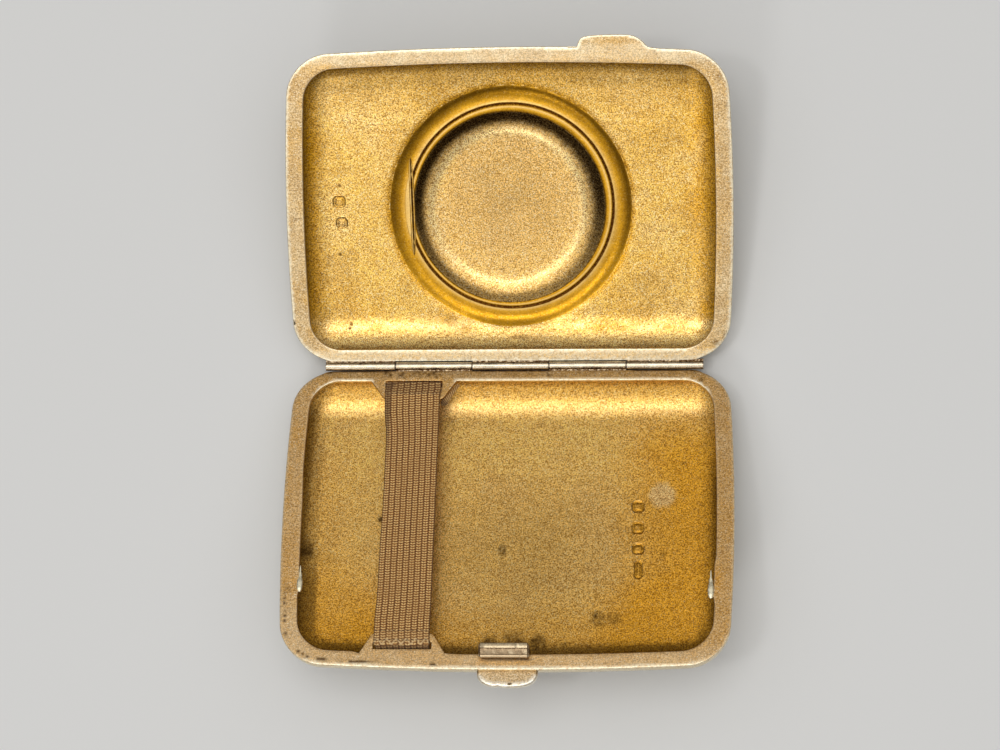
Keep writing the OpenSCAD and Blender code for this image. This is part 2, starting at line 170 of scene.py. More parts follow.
def round_box(w, v0, v1, r, arc=14, run=26):
    """Points round a box with round corners: arc steps in a corner, run points on a side."""
    h = w / 2
    centres = [(h - r, v0 + r), (h - r, v1 - r), (r - h, v1 - r), (r - h, v0 + r)]
    points = []
    for k in range(4):
        start = math.radians(90 * k - 90)
        turn = start + math.pi / 2
        a, b = centres[k], centres[(k + 1) % 4]
        for i in range(arc + 1):
            t = start + math.pi / 2 * i / arc
            points.append((a[0] + r * math.cos(t), a[1] + r * math.sin(t)))
        p = (a[0] + r * math.cos(turn), a[1] + r * math.sin(turn))
        q = (b[0] + r * math.cos(turn), b[1] + r * math.sin(turn))
        for i in range(1, run + 1):
            t = i / (run + 1)
            points.append((p[0] + (q[0] - p[0]) * t, p[1] + (q[1] - p[1]) * t))
    return points


def case_outline(inset):
    """Outline of either half, drawn in by inset."""
    return [bowed(p) for p in round_box(case_w - 2 * inset, rear_v + inset, case_l - inset,
                                        max(corner_r - inset, 0.5))]


def ease(low, high, t):
    """0 at low and 1 at high with soft ends, also where low is the larger one."""
    t = min(max((t - low) / (high - low), 0), 1)
    return t * t * (3 - 2 * t)


def hump(x, x_width, v=0.0, v_width=1.0):
    """1 in the middle, falling softly to 0 on both sides."""
    return math.exp(-(x / x_width) ** 2 - (v / v_width) ** 2)


def drift(*place):
    """Smooth unevenness, about -1 to 1. Larger numbers in place change faster."""
    return noise.noise(Vector(place))


def circle(r, n, x=0.0, v=0.0):
    """n points on a circle of radius r about x, v."""
    return [(x + r * math.cos(2 * math.pi * i / n), v + r * math.sin(2 * math.pi * i / n)) for i in range(n)]


def edge_distance(points, loop):
    """Distance in millimetres from each point to a closed line."""
    p = np.asarray(points, float)[:, None, :]
    a = np.asarray(loop, float)[None, :, :]
    d = np.roll(a, -1, axis=1) - a
    t = np.clip(((p - a) * d).sum(2) / np.maximum((d * d).sum(2), 1e-12), 0, 1)
    return np.sqrt((((p - a) - t[:, :, None] * d) ** 2).sum(2)).min(1)


def inside(points, loop):
    """Which of the points lie inside a closed line."""
    p, a = np.asarray(points, float), np.asarray(loop, float)
    b = np.roll(a, -1, axis=0)
    y, x = p[:, 1][:, None], p[:, 0][:, None]
    crosses = (a[None, :, 1] > y) != (b[None, :, 1] > y)
    rise = np.where(b[:, 1] == a[:, 1], 1e-12, b[:, 1] - a[:, 1])
    at = a[None, :, 0] + (y - a[None, :, 1]) * (b[:, 0] - a[:, 0])[None, :] / rise[None, :]
    return ((crosses & (x < at)).sum(1) % 2) == 1


def fill_flat(loops, spacing, dense=()):
    """Even triangles over a flat region: inside the first loop and outside the others.
    dense holds boxes (x0, v0, x1, v1, spacing) that get closer points."""
    outer = np.asarray(loops[0])
    low, high = outer.min(0), outer.max(0)
    grid = []
    row, v = 0, low[1] + spacing / 2
    while v < high[1]:
        x = low[0] + (spacing / 2 if row % 2 else spacing)
        while x < high[0]:
            if not any(b[0] < x < b[2] and b[1] < v < b[3] for b in dense):
                grid.append((x, v))
            x += spacing
        v += spacing * 0.87
        row += 1
    for b in dense:
        for i in range(int((b[2] - b[0]) / b[4])):
            for j in range(int((b[3] - b[1]) / b[4])):
                grid.append((b[0] + (i + 0.5) * b[4], b[1] + (j + 0.5) * b[4]))
    grid = np.array(grid)
    keep = inside(grid, loops[0])
    for loop in loops[1:]:
        keep &= ~inside(grid, loop)
    grid = grid[keep]
    for loop in loops:
        grid = grid[edge_distance(grid, loop) > 0.4 * min([spacing] + [b[4] * 2 for b in dense])]
    points, edges = [], []
    for loop in loops:
        n = len(points)
        points += [Vector(p) for p in loop]
        edges += [(n + i, n + (i + 1) % len(loop)) for i in range(len(loop))]
    points += [Vector(p) for p in grid]
    found, _, faces, _, _, _ = delaunay_2d_cdt(points, edges, [], 0, 1e-7)
    found = np.array([tuple(p) for p in found])
    faces = np.array([f for f in faces if len(f) == 3])
    middle = found[faces].mean(1)
    keep = inside(middle, loops[0])
    for loop in loops[1:]:
        keep &= ~inside(middle, loop)
    return [tuple(p) for p in found], [tuple(int(i) for i in f) for f in faces[keep]]


class Work:
    """One piece being made: points in its half's millimetres, faces, and its painted values."""

    def __init__(self):
        self.points, self.faces, self.sides, self.paint = [], [], [], []

    def add(self, points, faces, side, paint=None):
        """side is the number of the finish that the faces get."""
        n = len(self.points)
        self.points += [tuple(p) for p in points]
        self.faces += [tuple(n + i for i in f) for f in faces]
        self.sides += [side] * len(faces)
        self.paint += list(paint) if paint is not None else [(0.0, 0.0, 0.0)] * len(points)

    def rings(self, rings, side, paint=None):
        """A skin over a row of closed rings with equally many points."""
        n = len(rings[0])
        faces = [(k * n + i, (k + 1) * n + i, (k + 1) * n + (i + 1) % n, k * n + (i + 1) % n)
                 for k in range(len(rings) - 1) for i in range(n)]
        self.add([p for r in rings for p in r], faces, side,
                 [q for r in paint for q in r] if paint is not None else None)

    def finish(self, name, place, finishes, body, slot, nodes=(), sharp=38):
        """The piece as it stands in the frame. Edges that bend more than sharp degrees stay sharp."""
        mesh = bpy.data.meshes.new(name)
        mesh.from_pydata([place(*p) for p in self.points], [], self.faces)
        mesh.polygons.foreach_set("material_index", self.sides)
        at = mesh.attributes.new("at", "FLOAT_VECTOR", "POINT")
        at.data.foreach_set("vector", np.array(self.points, np.float32).ravel())
        painted = mesh.attributes.new("painted", "FLOAT_VECTOR", "POINT")
        painted.data.foreach_set("vector", np.array(self.paint, np.float32).ravel())
        for finish in finishes:
            mesh.materials.append(finish)
        work = bmesh.new()
        work.from_mesh(mesh)
        bmesh.ops.remove_doubles(work, verts=work.verts, dist=2e-6)
        bmesh.ops.recalc_face_normals(work, faces=work.faces)
        work.to_mesh(mesh)
        work.free()
        mesh.shade_smooth()
        mesh.set_sharp_from_angle(angle=math.radians(sharp))
        piece = bpy.data.objects.new(name, mesh)
        scene.collection.objects.link(piece)
        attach(piece, body)
        if nodes:
            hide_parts(*nodes)


class Finish:
    """A surface finish as it is mixed: colours, grain and roughness over the piece's millimetres."""

    def __init__(self, name):
        self.material = bpy.data.materials.new(name)
        self.material.use_nodes = True
        self.tree = self.material.node_tree
        self.skin = self.tree.nodes["Principled BSDF"]
        at = add_node(self.tree, "ShaderNodeAttribute")
        at.attribute_name = "at"
        self.place = at.outputs["Vector"]
        painted = add_node(self.tree, "ShaderNodeAttribute")
        painted.attribute_name = "painted"
        three = add_node(self.tree, "ShaderNodeSeparateXYZ", Vector=painted.outputs["Vector"])
        self.painted = [three.outputs[k] for k in "XYZ"]

    def by_object(self):
        """For solids kept from the CAD: their own metres, turned to millimetres."""
        here = add_node(self.tree, "ShaderNodeTexCoord")
        scaled = add_node(self.tree, "ShaderNodeVectorMath", n0=here.outputs["Object"])
        scaled.operation = "SCALE"
        scaled.inputs["Scale"].default_value = 1000
        self.place = scaled.outputs[0]

    def grain(self, per_mm, detail, rough, stretch=None):
        """Even speckle: per_mm is about how many specks there are in a millimetre."""
        place = self.place
        if stretch:
            place = add_node(self.tree, "ShaderNodeVectorMath", n0=place, n1=stretch)
            place.operation = "MULTIPLY"
            place = place.outputs[0]
        return add_node(self.tree, "ShaderNodeTexNoise", Vector=place, Scale=per_mm,
                        Detail=detail, Roughness=rough).outputs["Fac"]

    def spread(self, value, low, high, to_low=0.0, to_high=1.0):
        """The value with its range from low to high stretched, with soft ends, to another range."""
        made = add_node(self.tree, "ShaderNodeMapRange", Value=value)
        made.interpolation_type = "SMOOTHSTEP"
        for key, number in (("From Min", low), ("From Max", high), ("To Min", to_low), ("To Max", to_high)):
            made.inputs[key].default_value = number
        return made.outputs["Result"]

    def compute(self, kind, a, b):
        made = add_node(self.tree, "ShaderNodeMath", n0=a, n1=b)
        made.operation = kind
        return made.outputs[0]

    def blend(self, share, a, b, kind="MIX"):
        """Colour a with its share of colour b laid over it."""
        made = add_node(self.tree, "ShaderNodeMix")
        made.data_type = "RGBA"
        made.blend_type = kind
        for socket, value in ((made.inputs["Factor"], share), (made.inputs[6], a), (made.inputs[7], b)):
            feed(self.tree, socket, value)
        return made.outputs[2]

    def relief(self, *layers):
        """layers: (height value, strength, depth in millimetres), finest last."""
        normal = None
        for value, strength, depth in layers:
            made = add_node(self.tree, "ShaderNodeBump", Height=value, Strength=strength)
            made.inputs["Distance"].default_value = depth / 1000
            if normal is not None:
                self.tree.links.new(normal, made.inputs["Normal"])
            normal = made.outputs["Normal"]
        self.tree.links.new(normal, self.skin.inputs["Normal"])

    def set(self, colour, roughness, metallic):
        for key, value in (("Base Color", colour), ("Roughness", roughness), ("Metallic", metallic)):
            feed(self.tree, self.skin.inputs[key], value)
        return self.material


def frosted_gilt(name, ground, brown, rich, sparkle, dirt_and_shade_colour=(0.12, 0.055, 0.010), rough=(0.34, 0.50),
                 pale_and_highlight_colour=(0.90, 0.585, 0.25)):
    """Frosted gilding. Painted X soils it and paints shade, painted Y deepens it to orange, also as painted
    shade at the walls, painted Z bleaches it, also as a painted highlight.
    """
    f = Finish(name)
    coarse = f.grain(1.3, 3.0, 0.7)
    speck = f.grain(3.7, 3.0, 0.75)
    cloud = f.grain(0.075, 3.0, 0.55)
    patch = f.grain(0.32, 3.0, 0.65)
    shade = f.compute("ADD", f.spread(coarse, 0.32, 0.68, -0.06, 0.26),
                      f.spread(speck, 0.34, 0.66, -0.16, 0.92))
    shade = f.blend(shade, (0.36, 0.27, 0.15), (1.25, 1.22, 1.17))
    colour = f.blend(f.spread(cloud, 0.42, 0.66, 0.0, 0.55), ground, brown)
    colour = f.blend(f.spread(patch, 0.50, 0.70, 0.0, 0.4), colour, brown)
    colour = f.blend(f.painted[1], colour, rich)
    colour = f.blend(f.painted[2], colour, pale_and_highlight_colour)
    colour = f.blend(1.0, colour, shade, "MULTIPLY")
    kept = f.spread(f.painted[1], 0.1, 0.9, 1.0, 0.3)
    flash = f.compute("MULTIPLY", kept, f.spread(f.grain(2.9, 2.0, 0.7), 0.58, 0.72, 0.0, 0.55))
    colour = f.blend(flash, colour, sparkle)
    flash = f.compute("MULTIPLY", kept, f.spread(f.grain(5.2, 1.0, 0.5), 0.62, 0.70, 0.0, 0.85))
    colour = f.blend(flash, colour, sparkle)
    points = add_node(f.tree, "ShaderNodeTexVoronoi", Vector=f.place, Scale=1.5).outputs["Distance"]
    flash = f.compute("MULTIPLY", kept, f.spread(points, 0.15, 0.25, 0.75, 0.0))
    colour = f.blend(flash, colour, sparkle)
    # painted X: dirt and painted shade
    soil_and_shade = f.compute("MULTIPLY", f.painted[0], f.spread(speck, 0.3, 0.7, 1.1, 0.85))
    colour = f.blend(soil_and_shade, colour, dirt_and_shade_colour)
    f.relief((patch, 0.5, 0.16), (coarse, 0.6, 0.06), (speck, 0.9, 0.035))
    polish = f.compute("MULTIPLY", f.painted[2], 0.17)
    return f.set(colour, f.compute("SUBTRACT", f.spread(speck, 0.3, 0.7, *rough), polish), 1.0)


def plain_silver(name):
    """The outside skin: smooth silver gilt, rubbed by pockets, with fine scratches."""
    f = Finish(name)
    cloud = f.grain(0.12, 3.0, 0.6)
    rub = f.grain(0.9, 4.0, 0.7)
    line = f.grain(1.1, 3.0, 0.8, (0.3, 6.0, 1.0))
    colour = f.blend(f.spread(cloud, 0.35, 0.65), (0.80, 0.70, 0.50), (0.72, 0.60, 0.38))
    colour = f.blend(f.spread(rub, 0.55, 0.8, 0.0, 0.5), colour, (0.85, 0.80, 0.70))
    # painted X: painted shade high on the wall beside the hinge
    colour = f.blend(f.painted[0], colour, (0.10, 0.05, 0.018))
    rough = f.spread(rub, 0.3, 0.7, 0.2, 0.34)
    f.relief((cloud, 0.4, 0.2), (line, 0.25, 0.008))
    return f.set(colour, rough, 1.0)


def back_bend(steps=12):
    """Inset and height of the outer skin as it turns from the wall to the back."""
    turns = [math.pi / 2 * i / steps for i in range(steps + 1)]
    return [(bend_r * (1 - math.cos(a)), bend_z - bend_r * math.sin(a)) for a in turns]


def inner_depth(d, soft):
    """Height of the inside at distance d from the top of the wall, and how far it has turned
    there, from 0 on the wall to 1 on the floor."""
    if d >= soft:
        return floor_z, 1.0
    turned = math.acos(1 - d / soft)
    return bend_z - (bend_r - sheet) * math.sin(turned), turned / (math.pi / 2)


def hinge_shade(x, v, z):
    """Painted shade on the outside, high on the wall beside the hinge."""
    return 0.85 * ease(1.6, 0.4, v) * ease(-3.2, -1.2, z), 0.0, 0.0


def raise_pan(work, soft, reach_in, tones, relief, dense, opening=None):
    """Outer skin, rim and inner skin of one pan. soft is how far the inside bend spreads from
    the wall, reach_in how far in the rings go. opening is a round hole (radius, x, v)."""
    wall_steps, hole_steps, back_spacing, floor_spacing = 16, 160, 3.0, 0.5
    hole = [circle(opening[0], hole_steps, *opening[1:])] if opening else []
    outside = [(0.0, frame_z)] + back_bend()
    rings = [[(x, v, z) for x, v in case_outline(inset)] for inset, z in outside]
    work.rings(rings, 1, [[hinge_shade(*p) for p in ring] for ring in rings])
    points, faces = fill_flat([[(x, v) for x, v, z in rings[-1]]] + hole, back_spacing)
    work.add([(x, v, -half_d) for x, v in points], faces, 1)
    work.rings([[(x, v, frame_z) for x, v in case_outline(inset)] for inset in (0.0, sheet)], 1)

    insets = [reach_in * (i / wall_steps) ** 1.5 for i in range(wall_steps + 1)]
    depths = [inner_depth(d, soft) for d in insets]
    rings = [[(x, v, frame_z) for x, v in case_outline(sheet)]]
    rings += [[(x, v, z) for x, v in case_outline(sheet + d)] for d, (z, t) in zip(insets, depths)]
    turned = [depths[0][1]] + [t for z, t in depths]
    work.rings(rings, 0, [[tones(x, v, t) for x, v, z in ring] for ring, t in zip(rings, turned)])

    floor = [(x, v) for x, v, z in rings[-1]]
    points, faces = fill_flat([floor] + hole, floor_spacing, dense)
    lifted, painted = [], []
    for (x, v), d in zip(points, edge_distance(points, floor)):
        z, t = inner_depth(reach_in + d, soft)
        lifted.append((x, v, z + relief(x, v) * ease(0.0, 1.0, d)))
        painted.append(tones(x, v, t))
    work.add(lifted, faces, 0, painted)
    if hole:
        away = edge_distance(hole[0], floor)
        top = [(x, v, inner_depth(reach_in + d, soft)[0] + relief(x, v)) for (x, v), d in zip(hole[0], away)]
        work.rings([top, [(x, v, -half_d) for x, v in hole[0]]], 1)


def stain(marks, x, v):
    """Sum of soft spots (x, v, radius, strength) at one place, with ragged edges."""
    total = 0.0
    ragged = 0.35 * drift(x * 0.9, v * 0.9, 3.1)
    for cx, cv, r, strength in marks:
        d = math.hypot(x - cx, v - cv) / r
        if d < 1.6:
            total = max(total, strength * (1 - ease(0.25, 1.15, d + ragged)))
    return total


# soft spots: those near v 57 in front of the catch hook are its painted shadow, the rest are stains
base_stains_and_hook_shadow = [
    (-1.3, 37.0, 1.6, 0.55), (17.9, 51.3, 2.2, 0.6), (21.0, 51.4, 2.0, 0.55), (-3.2, 56.9, 3.0, 0.7),
    (1.5, 56.7, 3.8, 0.75), (6.0, 57.0, 3.2, 0.75), (11.0, 57.6, 2.4, 0.4), (34.6, 18.5, 0.6, 0.7),
    (29.5, 17.3, 0.5, 0.5), (-35.2, 32.6, 0.6, 0.6), (-34.0, 33.2, 0.4, 0.5), (-36.8, 38.5, 3.5, 0.2),
    (-38.6, 54.6, 2.4, 0.4), (-31.0, 57.2, 2.5, 0.35), (-36.3, 56.0, 0.6, 0.8), (36.0, 56.5, 2.0, 0.3),
    (-25.6, 30.5, 1.1, 0.9), (6.0, 10.0, 0.5, 0.4), (-33.0, 12.0, 0.5, 0.5), (4.0, 23.0, 0.45, 0.5),
    (12.5, 30.0, 0.4, 0.5), (30.5, 38.0, 0.5, 0.5), (24.0, 49.0, 0.45, 0.5)]
base_punches = [(25.5, 27.9, 2.5, 2.4), (25.5, 32.4, 2.4, 2.6), (25.6, 36.8, 2.4, 2.3),
                (25.7, 41.2, 1.7, 3.9)]


def punched(punches, x, v):
    """Depth of blank struck marks: a sunk frame with cut corners round a low plain boss."""
    depth = 0.0
    for cx, cv, w, h in punches:
        dx, dv = abs(x - cx), abs(v - cv)
        out = max(dx - w / 2, dv - h / 2, (dx + dv - (w + h) / 2 + 0.5) * 0.72)
        if out < 0.2:
            depth = min(depth, -0.16 * (1 - ease(-0.22, 0.06, out)))
            depth += 0.11 * (1 - ease(-0.75, -0.35, out))
            depth += 0.035 * (1 - abs(ease(0.0, 0.2, out) * 2 - 1)) if out > 0 else 0.0
    return depth


def hammered(x, v, seed, fine_seed):
    """Unevenness that raising a pan leaves in its floor, in millimetres."""
    return 0.05 * drift(x * 0.07, v * 0.07, seed) + 0.012 * drift(x * 0.3, v * 0.3, fine_seed)


def base_relief(x, v):
    return hammered(x, v, 0.3, 2) + punched(base_punches, x, v)


def base_tones(x, v):
    """Soil and orange of the base's inside where nothing else changes them."""
    wander = 0.25 * drift(x * 0.09, v * 0.09, 4.4) + 0.12 * drift(x * 0.3, v * 0.3, 1.4)
    middle = hump(x - 3, 20, v - 41, 17)
    soil_and_shade = 0.24 * middle * (1 + wander) + 0.12 * ease(14, 34, v) + 0.14 * ease(46, 60, v)
    rich = ease(13, 34, x + 12 * wander) * ease(2, 18, v) + 0.75 * ease(36, 58, v + 8 * wander)
    rich += 0.30 * ease(-26, -38, x) * ease(8, 26, v) + 0.35 * ease(-22, -30, x) * ease(34, 50, v)
    rich -= 0.5 * middle + 0.40 * ease(-28, -35, x) * ease(42, 52, v)
    return soil_and_shade, min(max(rich, 0), 1)


def base_paint(x, v, t):
    """Painted values of the base's inside: painted shade on the walls, stains, punches, a pale dab and a
    painted highlight crest.
    """
    soil_and_shade, rich = base_tones(x, v)
    spots = stain(base_stains_and_hook_shadow, x, v) * (0.9 + 0.6 * drift(x * 1.6, v * 1.6, 5.5))
    struck = punched(base_punches, x, v)
    sunk, raised = 0.55 * ease(-0.02, -0.10, struck), 0.8 * ease(0.005, 0.03, struck)
    dab = 0.85 * (1 - ease(1.9, 3.2, math.hypot(x - 30.2, v - 25.4) + 0.5 * drift(x, v, 7)))
    # painted highlight: the bend beside the hinge is paled where the lamp's strip falls
    crest = 0.6 * ease(9.5, 6.5, v) * ease(0.62, 0.78, t) * (0.7 + 0.6 * drift(x * 0.4, v * 0.4, 2))
    dab_and_highlight = max(dab, crest)
    # painted shade: the walls are darkened, most toward the front and down both sides, and deepened to orange
    high, front, wall = ease(0.86, 0.30, t), ease(10, 40, v), ease(0.80, 0.58, t)
    soil_and_shade = max(soil_and_shade, min(soil_and_shade * 0.6 + max(spots, 0), 1),
               high * (0.05 + 0.42 * front),
               0.75 * ease(0.66, 0.56, t) * front,
               0.68 * ease(0.94, 0.84, t) * ease(50, 56, v),
               0.62 * ease(-37, -40, x) * wall * ease(3, 8, v),
               (0.26 + 0.40 * ease(30, 48, v)) * ease(-36, -38.5, x) * ease(0.92, 0.82, t) * ease(6, 14, v),
               hump(v - 37.5, 2.6) * ease(-37, -39.5, x) * ease(0.9, 0.72, t),
               0.7 * ease(37, 40, x) * wall * ease(14, 24, v))
    rich = min(max(rich, 1.3 * high * (0.4 + 0.6 * ease(6, 12, v))) + sunk, 1)
    return soil_and_shade * (1 - 0.8 * dab_and_highlight) + sunk * 0.5, rich * (1 - dab_and_highlight), max(dab_and_highlight, raised)


gilt_base = frosted_gilt("frosted_gilt_base", (1.0, 0.635, 0.18), (0.84, 0.53, 0.175), (0.92, 0.475, 0.045),
                         (1.0, 0.79, 0.36), (0.075, 0.034, 0.007))
outer_skin = plain_silver("rubbed_outside")
base_pan = Work()
base_soft, base_reach = 7.6, 5.2
# closer points under the punches and the sharper stains
base_dense = [(23.6, 26.0, 27.6, 43.8, 0.16), (28.7, 16.5, 30.3, 18.1, 0.2), (33.6, 17.5, 35.6, 19.5, 0.2),
              (-26.8, 29.3, -24.4, 31.8, 0.2), (-37.0, 31.6, -34.2, 33.6, 0.2),
              (16.0, 49.4, 23.0, 53.2, 0.3), (-2.8, 35.4, 0.4, 38.6, 0.3)]
raise_pan(base_pan, base_soft, base_reach, base_paint, base_relief, base_dense)
base_pan.finish("base_pan", in_base, [gilt_base, outer_skin], "base", "gilt_frosted", ["base_shell"])

# Base rim frame
# A flat plate let into the mouth of the pan and soldered there. Two tongues in one piece
# with it hold the elastic, each with a slot. The solder seam shows near the outer edge.

bezel_side, opening_r, front_in = 3.5, 6.0, 60.9
strap_x, strap_lean = -19.6, -0.2
rear_in, slot_w, slot_l = 3.2, 11.35, 1.35
rear_slot, front_slot = 3.2, 58.45


def frame_opening(rear):
    return [bowed(p) for p in round_box(case_w - 2 * bezel_side, rear_v + rear, front_in, opening_r)]


def area_of(loop):
    """Area of a closed line, below zero where it runs clockwise."""
    return sum(a[0] * b[1] - b[0] * a[1] for a, b in zip(loop, loop[1:] + loop[:1])) / 2


def draw_in(loop, inset, hole=False):
    """The loop moved into the metal by inset."""
    side = 1 if (area_of(loop) > 0) != hole else -1
    out = []
    n = len(loop)
    for i in range(n):
        a, b, c = loop[i - 1], loop[i], loop[(i + 1) % n]
        u = Vector((b[0] - a[0], b[1] - a[1])).normalized()
        w = Vector((c[0] - b[0], c[1] - b[1])).normalized()
        m = Vector((-(u.y + w.y), u.x + w.x))
        if m.length < 1e-6:
            m = Vector((-u.y, u.x))
        m.normalize()
        lean = max(0.5, m.dot(Vector((-u.y, u.x))))
        out.append((b[0] + side * m.x * inset / lean, b[1] + side * m.y * inset / lean))
    return out


def cut_plate(work, loops, low, top, edge, spacing, paint, wave=0.0, low_edge=0.08, steps=4):
    """A plate sawn from sheet: rounded upper edges of radius edge, flat faces, softly uneven."""
    far = 9.0   # told to paint where a place is near no edge

    def uneven(x, v):
        return wave * (drift(x * 0.16, v * 0.16, low) + 0.4 * drift(x * 0.6, v * 0.6, top))

    turns = [math.pi / 2 * i / steps for i in range(steps + 1)]
    shape = [(edge * (1 - math.sin(t)), top - edge * (1 - math.cos(t))) for t in turns]
    shape += [(low_edge * (1 - math.cos(t)), low + low_edge * (1 - math.sin(t))) for t in turns[::2]]
    for k, loop in enumerate(loops):
        rings, painted = [], []
        for inset, z in shape:
            ring = draw_in(loop, inset, k > 0)
            outer, inner = (far, inset) if k else (inset, far)
            share = ease(low + 0.1, top, z)
            rings.append([(x, v, z + share * uneven(x, v)) for x, v in ring])
            painted.append([paint(x, v, outer, inner, z) for x, v in ring])
        work.rings(rings, 0, painted)
    points, faces = fill_flat([draw_in(loop, edge, k > 0) for k, loop in enumerate(loops)], spacing)
    to_outer = edge_distance(points, loops[0])
    to_holes = [edge_distance(points, loop) for loop in loops[1:]]
    to_inner = np.min(to_holes, axis=0) if to_holes else [far] * len(points)
    work.add([(x, v, top + uneven(x, v)) for x, v in points], faces, 0,
             [paint(x, v, a, b, top) for (x, v), a, b in zip(points, to_outer, to_inner)])
    points, faces = fill_flat([draw_in(loop, low_edge, k > 0) for k, loop in enumerate(loops)], spacing * 4)
    work.add([(x, v, low) for x, v in points], faces, 0, [paint(x, v, far, far, low) for x, v in points])


def worn_gilt(name, ground, pale, orange, bright_edge):
    """Gilding rubbed thin on a flat rim. Painted X is dirt and painted shade, Y the rubbed bright edge and
    painted highlight, Z orange gilt.
    """
    f = Finish(name)
    speck = f.grain(3.0, 2.0, 0.65)
    fine = f.grain(6.5, 2.0, 0.65)
    cloud = f.grain(0.2, 4.0, 0.6)
    crumb = f.grain(1.4, 3.0, 0.7)
    brushed = f.grain(2.4, 3.0, 0.75, (0.35, 2.2, 1.0))
    shade = f.compute("ADD", f.spread(brushed, 0.32, 0.68, -0.08, 0.36),
                      f.spread(speck, 0.34, 0.66, -0.12, 0.80))
    shade = f.blend(shade, (0.56, 0.475, 0.37), (1.17, 1.155, 1.13))
    colour = f.blend(f.spread(cloud, 0.42, 0.68, 0.0, 0.8), ground, pale)
    colour = f.blend(f.spread(f.grain(0.7, 2.0, 0.6), 0.5, 0.72, 0.0, 0.25), colour, orange)
    colour = f.blend(f.painted[2], colour, orange)
    colour = f.blend(1.0, colour, shade, "MULTIPLY")
    colour = f.blend(f.spread(speck, 0.62, 0.74, 0.0, 0.4), colour, (0.22, 0.12, 0.045))
    colour = f.blend(f.spread(f.grain(5.0, 1.0, 0.5), 0.62, 0.70, 0.0, 0.7), colour, bright_edge)
    soil_and_shade = f.compute("MULTIPLY", f.painted[0], f.spread(crumb, 0.3, 0.5, 0.5, 1.0))
    colour = f.blend(soil_and_shade, colour, (0.06, 0.023, 0.005))
    bright = f.compute("MULTIPLY", f.painted[1], f.spread(crumb, 0.3, 0.62, 0.35, 1.0))
    colour = f.blend(bright, colour, bright_edge)
    f.relief((crumb, 0.35, 0.06), (brushed, 0.4, 0.012), (speck, 0.7, 0.025), (fine, 0.6, 0.010))
    return f.set(colour, f.spread(speck, 0.3, 0.7, 0.32, 0.46), 1.0)


def tongue_line(x, root, tip, half_root, half_tip, steps=5):
    """Outline of a tongue with soft corners, from its right root to its left root."""
    corners = [(x + half_root, root), (x + half_tip, tip), (x - half_tip, tip), (x - half_root, root)]
    line = [corners[0]]
    for a, b, c in zip(corners, corners[1:], corners[2:]):
        for i in range(steps + 1):
            t = i / steps
            p = [b[k] + 0.7 * (1 - t) ** 2 * (a[k] - b[k]) / math.dist(a, b)
                 + 0.7 * t ** 2 * (c[k] - b[k]) / math.dist(c, b) for k in (0, 1)]
            line.append((p[0], p[1]))
    line.append(corners[3])
    return line


def let_in(ring, line, covers):
    """The ring with the stretch that covers(x, v) finds replaced by a line."""
    out, placed = [], False
    for x, v in ring:
        if not covers(x, v):
            out.append((x, v))
        elif not placed:
            out += line
            placed = True
    return out


def base_opening():
    """The opening of the base frame: both tongues let in, and a small lug beside each keeper."""
    front_x = strap_x + strap_lean
    front = tongue_line(front_x, front_in - 0.25, front_in - 4.3, 8.4, 5.95)
    rear = tongue_line(strap_x, rear_in, rear_in + 4.0, 8.6, 5.85)[::-1]
    loop = let_in(frame_opening(2.0), front, lambda x, v: v > 50 and abs(x - front_x) < 8.7)
    loop = let_in(loop, rear, lambda x, v: v < 6 and abs(x - strap_x) < 8.9)
    out = []
    for x, v in loop:
        step = 0.0
        if x > 35 and 41.6 < v < 49.4:
            step = 0.28 * ease(41.6, 42.2, v) * ease(49.4, 49.0, v)
        if x < -35 and v < 48.2:
            step = 0.30 * ease(20.0, 30.0, v) * ease(48.2, 47.8, v)
        out.append((x - math.copysign(step, x), v))
    return out


def up_to_tube(loop):
    """The plate's hinge side is filed to lie close along the tube."""
    return [(x, v - 0.24 * ease(2.0, 1.2, v) * ease(38.9, 37.5, abs(x))) for x, v in loop]


def more_points(loop, longest):
    """The loop with its long stretches divided."""
    out = []
    for a, b in zip(loop, loop[1:] + loop[:1]):
        n = max(1, math.ceil(math.dist(a, b) / longest))
        out += [(a[0] + (b[0] - a[0]) * i / n, a[1] + (b[1] - a[1]) * i / n) for i in range(n)]
    return out


def slot_loop(x, v):
    """The slot for the strap in a tongue."""
    return more_points([(x - slot_w / 2, v), (x + slot_w / 2, v), (x + slot_w / 2, v + slot_l),
                        (x - slot_w / 2, v + slot_l)], 0.7)


frame_chips = [(-42.6, 47.6, 0.5, 0.8), (7.5, 2.0, 0.6, 0.6), (-6.0, 63.1, 0.5, 0.6), (-3.8, 63.2, 0.7, 0.5),
               (38.0, 3.2, 0.8, 0.6)]


